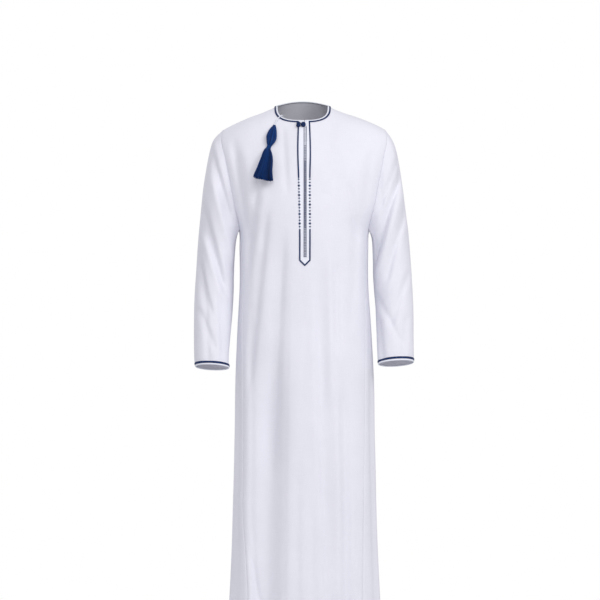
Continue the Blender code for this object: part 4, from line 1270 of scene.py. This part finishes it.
def make_placket_braid(above):
    """Braid along the top of both edges, and round the low end with its point."""
    for side in (RIGHT, LEFT):
        down = np.linspace(BRAID_TOPS[side], BRAID_TOP_END, 90)
        line = line_on(placket_side(side, down), down)
        word = WORD[side]
        lay_braid("placket_edge_braid_" + word, "placket_braid_" + word, *line, BRAID_HALF, above)
    down = np.linspace(BRAID_LOW_TOP, PLACKET_CORNER, 50)
    to_tip = np.linspace(0, 1, 9)[1:]
    fall = np.concatenate([down, PLACKET_CORNER + (PLACKET_TIP - PLACKET_CORNER) * to_tip])
    edges = [placket_side(side, down) for side in (RIGHT, LEFT)]
    tip_x = PLACKET.at("middle", PLACKET_TIP)
    right, left = (np.concatenate([x, x[-1] + (tip_x - x[-1]) * to_tip]) for x in edges)
    line = line_on(np.concatenate([right, left[-2::-1]]), np.concatenate([fall, fall[-2::-1]]))
    lay_braid("placket_edge_braid_point", "placket_braid_point", *line, BRAID_HALF, above)


def band_bars(ends, above, thick):
    """Paths of bars of thread on the band, from pairs of (x, down) ends; each arches a little."""
    ends = np.array(ends, float)
    (first, normals), (second, _) = (line_on(*ends[:, i].T) for i in (0, 1))
    t = np.linspace(0, 1, 7)[:, None]
    arch = normals[:, None] * (above + thick * np.sin(np.pi * t))
    return first[:, None] * (1 - t) + second[:, None] * t + arch


def make_band_work(above):
    """The worked band: a ladder above and below, and a chain of crosses in its middle."""
    left, right = BAND_X + RAIL_OUT, BAND_X - RAIL_OUT
    down = np.linspace(BAND_TOP, BAND_END, 220)
    rails = [line_on(x, down) for x in (right, left)]
    rails = [places + normals * (above + RAIL_LIFT) for places, normals in rails]
    tones = np.array([0.2, 0.3])
    rails = tubes("band_rails", np.array(rails), RAIL_THICK, THREAD_SIDES, GREY_THREAD, tones)
    keep(rails, "grey_embroidery")
    chain = CHAIN_TOP + CHAIN_PITCH * np.arange(CROSSES + 1)
    rungs = np.arange(RUNGS_TOP, BAND_END - 0.001, RUNG_PITCH)
    rungs = rungs[(rungs <= chain[0]) | (rungs >= chain[-1])]
    grey, navy = [((right, down), (left, down)) for down in rungs], []
    for down in chain[:-1]:
        cross, low = down + 0.8 * CHAIN_PITCH, down + 0.9 * CHAIN_PITCH
        navy += ((right, down), (left, cross)), ((left, down), (right, cross))
        grey += ((right, low), (right + 0.0014, low)), ((left - 0.0014, low), (left, low))
    for name, ends, lift, thick, material, slot in (
        ("band_ladder", grey, above, 0.00075, GREY_THREAD, "grey_embroidery"),
        ("band_crosses", navy, above + 0.0004, 0.00050, NAVY_THREAD, "navy_braid"),
    ):
        tones = np.random.default_rng(61).uniform(0, 1, len(ends))
        bars = band_bars(ends, lift, thick)
        keep(tubes(name, bars, thick, THREAD_SIDES, material, tones), slot)


def make_knot():
    """The knot button beside the slit and the loop that it goes through, of wound cord."""
    turns = np.linspace(0.0, 1.0, 150)
    polar, around = 0.30 + (np.pi - 0.60) * turns, turns * 2 * np.pi * KNOT_TURNS
    full = np.sin(polar) ** 0.55
    for knot in KNOTS:
        place, normal = line_on(knot.x, KNOT_DOWN)
        side = unit(np.cross(normal, (0.0, 0.0, 1.0)))
        up = np.cross(side, normal)
        paths = []
        for tilt in (0.30, -0.30):
            axis = up * math.cos(tilt) + side * math.sin(tilt)
            paths.append(
                place
                + normal * KNOT_LIFT
                + np.outer(np.cos(polar), axis * knot.tall)
                + np.outer(full * np.cos(around), np.cross(normal, axis) * knot.across)
                + np.outer(full * np.sin(around), normal * knot.deep)
            )
        tones = np.array([0.6, 0.25])
        wound = tubes(knot.name, np.array(paths), KNOT_CORD_HALF, CORD_SIDES, NAVY_THREAD, tones)
        keep(wound, "navy_braid", knot.node)


# ---------------------------------------------------------------- tassel


def tassel_line(rows):
    """Middle places of the tassel at rows, and its half width and half depth there."""
    half, x, down = (TASSEL.at(name, rows) for name in ("half", "x", "down"))
    deep = half * TASSEL_DEPTH
    highest = np.min([face_y(FRONT, x + s * half, down) for s in (-1, 0, 1)], axis=0)
    return np.stack([x, highest - TASSEL_LIFT - deep, -down], axis=-1), half, deep


TASSEL_ACROSS, TASSEL_AHEAD = np.array([0.98, 0.0, -0.20]), np.array([0.0, 1.0, 0.0])


def oval(middle, half, deep, angle):
    """Places at these angles round the tassel's middle line."""
    across = (half * np.cos(angle))[..., None] * TASSEL_ACROSS
    return middle + across + (deep * np.sin(angle))[..., None] * TASSEL_AHEAD


def make_tassel():
    """Head threads over a core, the winding at the waist, the loose threads and the cord."""
    rng = np.random.default_rng(71)
    rows = np.linspace(0.0, TASSEL_WAIST - 0.05, 26)
    middle, half, deep = tassel_line(rows)
    turns = np.linspace(0, 2 * np.pi, HEAD_THREADS + 1)[:-1, None]
    spread = turns + 0.05 * np.sin(rows * 1.3 + 5 * turns) + rng.normal(0, 0.02, turns.shape)
    depth = 0.90 + 0.10 * rng.random(turns.shape)
    paths = oval(middle, half * depth, deep * depth, spread)
    tones = rng.uniform(0, 1, HEAD_THREADS)
    thick = np.clip(half / 12, 0.0003, 0.0008)
    head = tubes("tassel_head_threads", paths, thick, THREAD_SIDES, TASSEL_THREAD, tones)
    keep(head, "tassel_thread", "tassel_head")
    core_half, core_deep = half[:, None] * CORE_SHARE, deep[:, None] * CORE_SHARE
    core = oval(middle[:, None], core_half, core_deep, np.linspace(0, 2 * np.pi, 25))
    keep(sheet_mesh("tassel_head_core", core, TASSEL_THREAD, capped=True), "tassel_thread")

    wound = np.linspace(0, 2 * np.pi * WINDINGS, 120)
    middle, half, deep = tassel_line(TASSEL_WAIST - 0.45 + 0.9 * wound / wound[-1])
    path = oval(middle, half + WINDING_OUT, deep + WINDING_OUT, wound)
    tone = np.array([0.9])
    wrap = tubes("tassel_waist_winding", path[None], WINDING_HALF, CORD_SIDES, TASSEL_THREAD, tone)
    keep(wrap, "tassel_thread", "tassel_wrap")

    count = SKIRT_THREADS
    locks = rng.uniform(0, 2 * np.pi, LOCKS)
    lock = rng.integers(0, LOCKS, count)
    ring = np.sqrt(rng.uniform(0.12, 1.0, count))
    start = locks[lock] + rng.normal(0, 0.11, count)
    end = 13.0 + 0.16 * np.sin(lock * 2.1) - np.abs(rng.normal(0, 0.16, count)) - 0.25 * ring**3
    t = np.linspace(0, 1, 18)
    middle, half, deep = tassel_line(SKIRT_TOP + (end[:, None] - SKIRT_TOP) * t)
    sway = 0.05 * np.sin(3 * t + 7 * ring[:, None]) + rng.normal(0, 0.05, (count, 1)) * t**2
    reach = ring[:, None] * (0.96 + 0.04 * t)
    paths = oval(middle, half * reach, deep * reach, start[:, None] + sway)
    tones = np.clip(0.45 + 0.40 * np.sin(lock * 2.4) + rng.normal(0, 0.20, count), 0, 1)
    thick = SKIRT_THREAD_HALF * (1 - 0.25 * t**4)
    skirt = tubes("tassel_skirt_threads", paths, thick, FINE_SIDES, TASSEL_THREAD, tones)
    keep(skirt, "tassel_thread", "tassel_skirt")


def cord_route():
    """A smooth line from inside the neck, over its rim and braid, down into the tassel."""
    at = np.array([math.asin((CORD_X - NECK_X) / (NECK_HALF + NECK_BRAID_OUT))])
    (rim,), (normal,) = neck_line(at, -RIM_HALF)
    (braid,), _ = neck_line(at, NECK_BRAID_OUT)
    (beyond,), _ = neck_line(at, NECK_BRAID_OUT + 0.0045)
    (tip,), _, _ = tassel_line(np.array([0.2]))
    inward = unit(rim - braid)
    above = NECK_LIFT + TRIM + CORD_HALF + 0.0002
    points = np.array(
        [
            rim + inward * 0.0040 - normal * 0.0100,
            rim + inward * 0.0046 - normal * 0.0030,
            rim + inward * 0.0030 + normal * 0.0022,
            braid - inward * 0.0002 + normal * above,
            beyond + normal * (above - 0.0004),
            (beyond + normal * above) * 0.5 + tip * 0.5 + normal * 0.0010,
            tip,
        ]
    )
    run = lengths_along(points)
    table = Table("run x y z", *np.column_stack([run, points]))
    return np.stack([table.at(name, np.linspace(0, run[-1], 60)) for name in "xyz"], axis=-1)


def make_tassel_cord():
    """The white cord, of two plies."""
    route = cord_route()
    run = lengths_along(route)
    along = unit(np.gradient(route, axis=0))
    side = unit(np.cross(along, (1.0, 0.2, 0.3)))
    up = np.cross(along, side)
    ply = CORD_HALF * 0.62
    turns = [(start + run * 2 * np.pi / PLY_LAY)[:, None] for start in (0.0, np.pi)]
    plies = np.array([route + (side * np.cos(turn) + up * np.sin(turn)) * ply for turn in turns])
    tones = np.array([0.4, 0.9])
    cord = tubes("tassel_hanging_cord", plies, ply, CORD_SIDES, WHITE_CORD, tones)
    keep(cord, "white_cord", "tassel_cord")


# ---------------------------------------------------------------- seams and hem


def make_seam_stitches(front, back, sides):
    """Stitching along the long side seams, the shoulders and the hem."""
    downs = np.linspace(ARMPIT + 0.01, LENGTH - 0.004, 400)
    lines = []
    for face in (FRONT, BACK):
        for side in (RIGHT, LEFT):
            x = side * (BODY.at("edge_" + WORD[side], downs) - SEAM_STITCH_IN)
            lines.append(line_on(x, downs, face))
    seams = {"slot": "white_suiting", "pitch": SEAM_PITCH, "long": SEAM_LONG}
    sew("side_seam_stitches", lines, seed=81, **seams)
    shoulders = [side * np.linspace(0.075, 0.215, 120) for side in (RIGHT, LEFT)]
    lines = [line_on(x, ridge_down(x) + SHOULDER_STITCH_IN, BACK) for x in shoulders]
    sew("shoulder_stitches", lines, seed=82, slot="white_suiting")
    lines = []
    for face, panel in ((FRONT, front), (BACK, back)):
        x = np.linspace(panel[-1, 0, 0], panel[-1, -1, 0], 260)
        lines.append(line_on(x, LENGTH - HEM, face))
    for side in sides:
        places = side[np.argmin(np.abs(side[:, 0, 2] + LENGTH - HEM))]
        normals = unit(np.cross(np.gradient(places, axis=0), (0.0, 0.0, 1.0)))
        lines.append((places, normals * np.sign((normals[:, 0] * places[:, 0]).sum())))
    sew("hem_stitches", lines, seed=83, **seams)


# ---------------------------------------------------------------- the robe

front_cloth, front_places = make_panel(FRONT, 132)
back_cloth, back_places = make_panel(BACK, 116)
side_cloths, side_places, sleeve_cloths = {}, {}, {}
for side in (RIGHT, LEFT):
    side_cloths[side], side_places[side] = make_side_panel(side, front_places, back_places)
for side in (RIGHT, LEFT):
    sleeve_cloths[side] = make_sleeve(side, front_places, back_places, side_places[side][0])
make_neck()
make_placket()
make_knot()
make_tassel()
make_tassel_cord()
make_seam_stitches(front_places, back_places, side_places.values())


# ---------------------------------------------------------------- studio

FLOOR_DOWN, FLOOR_RADIUS = 1.59, 2.3
CAMERA_X, CAMERA_DOWN, CAMERA_AWAY = -0.012, 0.520, 18.0
VIEW_WIDTH, SENSOR = 1.609, 36.0
SURROUND = 0.585  # strength of the light from all round
SURROUND_COLOUR, LAMP_COLOUR = (0.975, 0.965, 1.0, 1.0), (1.0, 0.99, 0.98)
LAMP_AIM = (0.0, 0.0, -0.55)
LAMPS = named_rows(
    "name place size power",
    ("key", (2.5, -2.8, 2.0), 1.5, 54.0),
    ("front", (0.0, -3.6, 1.4), 1.8, 46.0),
    ("behind", (-2.4, 3.4, 1.7), 1.5, 34.0),
)


def make_studio():
    bm = bmesh.new()
    bmesh.ops.create_circle(bm, cap_ends=True, segments=96, radius=FLOOR_RADIUS)
    bmesh.ops.translate(bm, vec=(0.0, 0.0, -FLOOR_DOWN), verts=bm.verts[:])
    mesh = bpy.data.meshes.new("studio_floor")
    bm.to_mesh(mesh)
    bm.free()
    material, tree, shader, coordinates = new_material("pale_floor")
    tone = place_group(tree, TONE, coordinates["Object"], Size=0.8, Low=0.0, High=1.0)
    colour = mix_colours(tree, tone["Tone"], (0.86, 0.87, 0.88), (0.90, 0.905, 0.91))
    set_inputs(tree, shader, Base_Color=colour, Roughness=0.8)
    link("studio_floor", mesh, material)

    world = bpy.data.worlds.new("studio")
    bpy.context.scene.world = world
    world.use_nodes = True
    tree = world.node_tree
    seen = tree.nodes["Background"]
    set_inputs(tree, seen, Color=(1.0, 1.0, 1.0, 1.0))
    around = add_node(tree, "Background", Color=SURROUND_COLOUR, Strength=SURROUND)
    either = add_node(tree, "MixShader", Fac=add_node(tree, "LightPath").outputs["Is Camera Ray"])
    feed(tree, either.inputs[1], around.outputs["Background"])
    feed(tree, either.inputs[2], seen.outputs["Background"])
    set_inputs(tree, tree.nodes["World Output"], Surface=either.outputs["Shader"])

    for row in LAMPS:
        lamp = bpy.data.lights.new(row.name, "AREA")
        lamp.shape, lamp.size, lamp.energy, lamp.color = "SQUARE", row.size, row.power, LAMP_COLOUR
        light = bpy.data.objects.new(row.name, lamp)
        light.location = row.place
        aim = Vector(LAMP_AIM) - light.location
        light.rotation_euler = aim.to_track_quat("-Z", "Y").to_euler()
        bpy.context.scene.collection.objects.link(light)

    lens = bpy.data.cameras.new("camera")
    lens.sensor_width = SENSOR
    lens.lens = SENSOR * CAMERA_AWAY / VIEW_WIDTH
    lens.clip_end = 60.0
    camera = bpy.data.objects.new("camera", lens)
    camera.location = (CAMERA_X, -CAMERA_AWAY, -CAMERA_DOWN)
    camera.rotation_euler = (math.pi / 2, 0.0, 0.0)
    bpy.context.scene.collection.objects.link(camera)
    bpy.context.scene.camera = camera
    bpy.context.scene.view_settings.view_transform = "Standard"


make_studio()
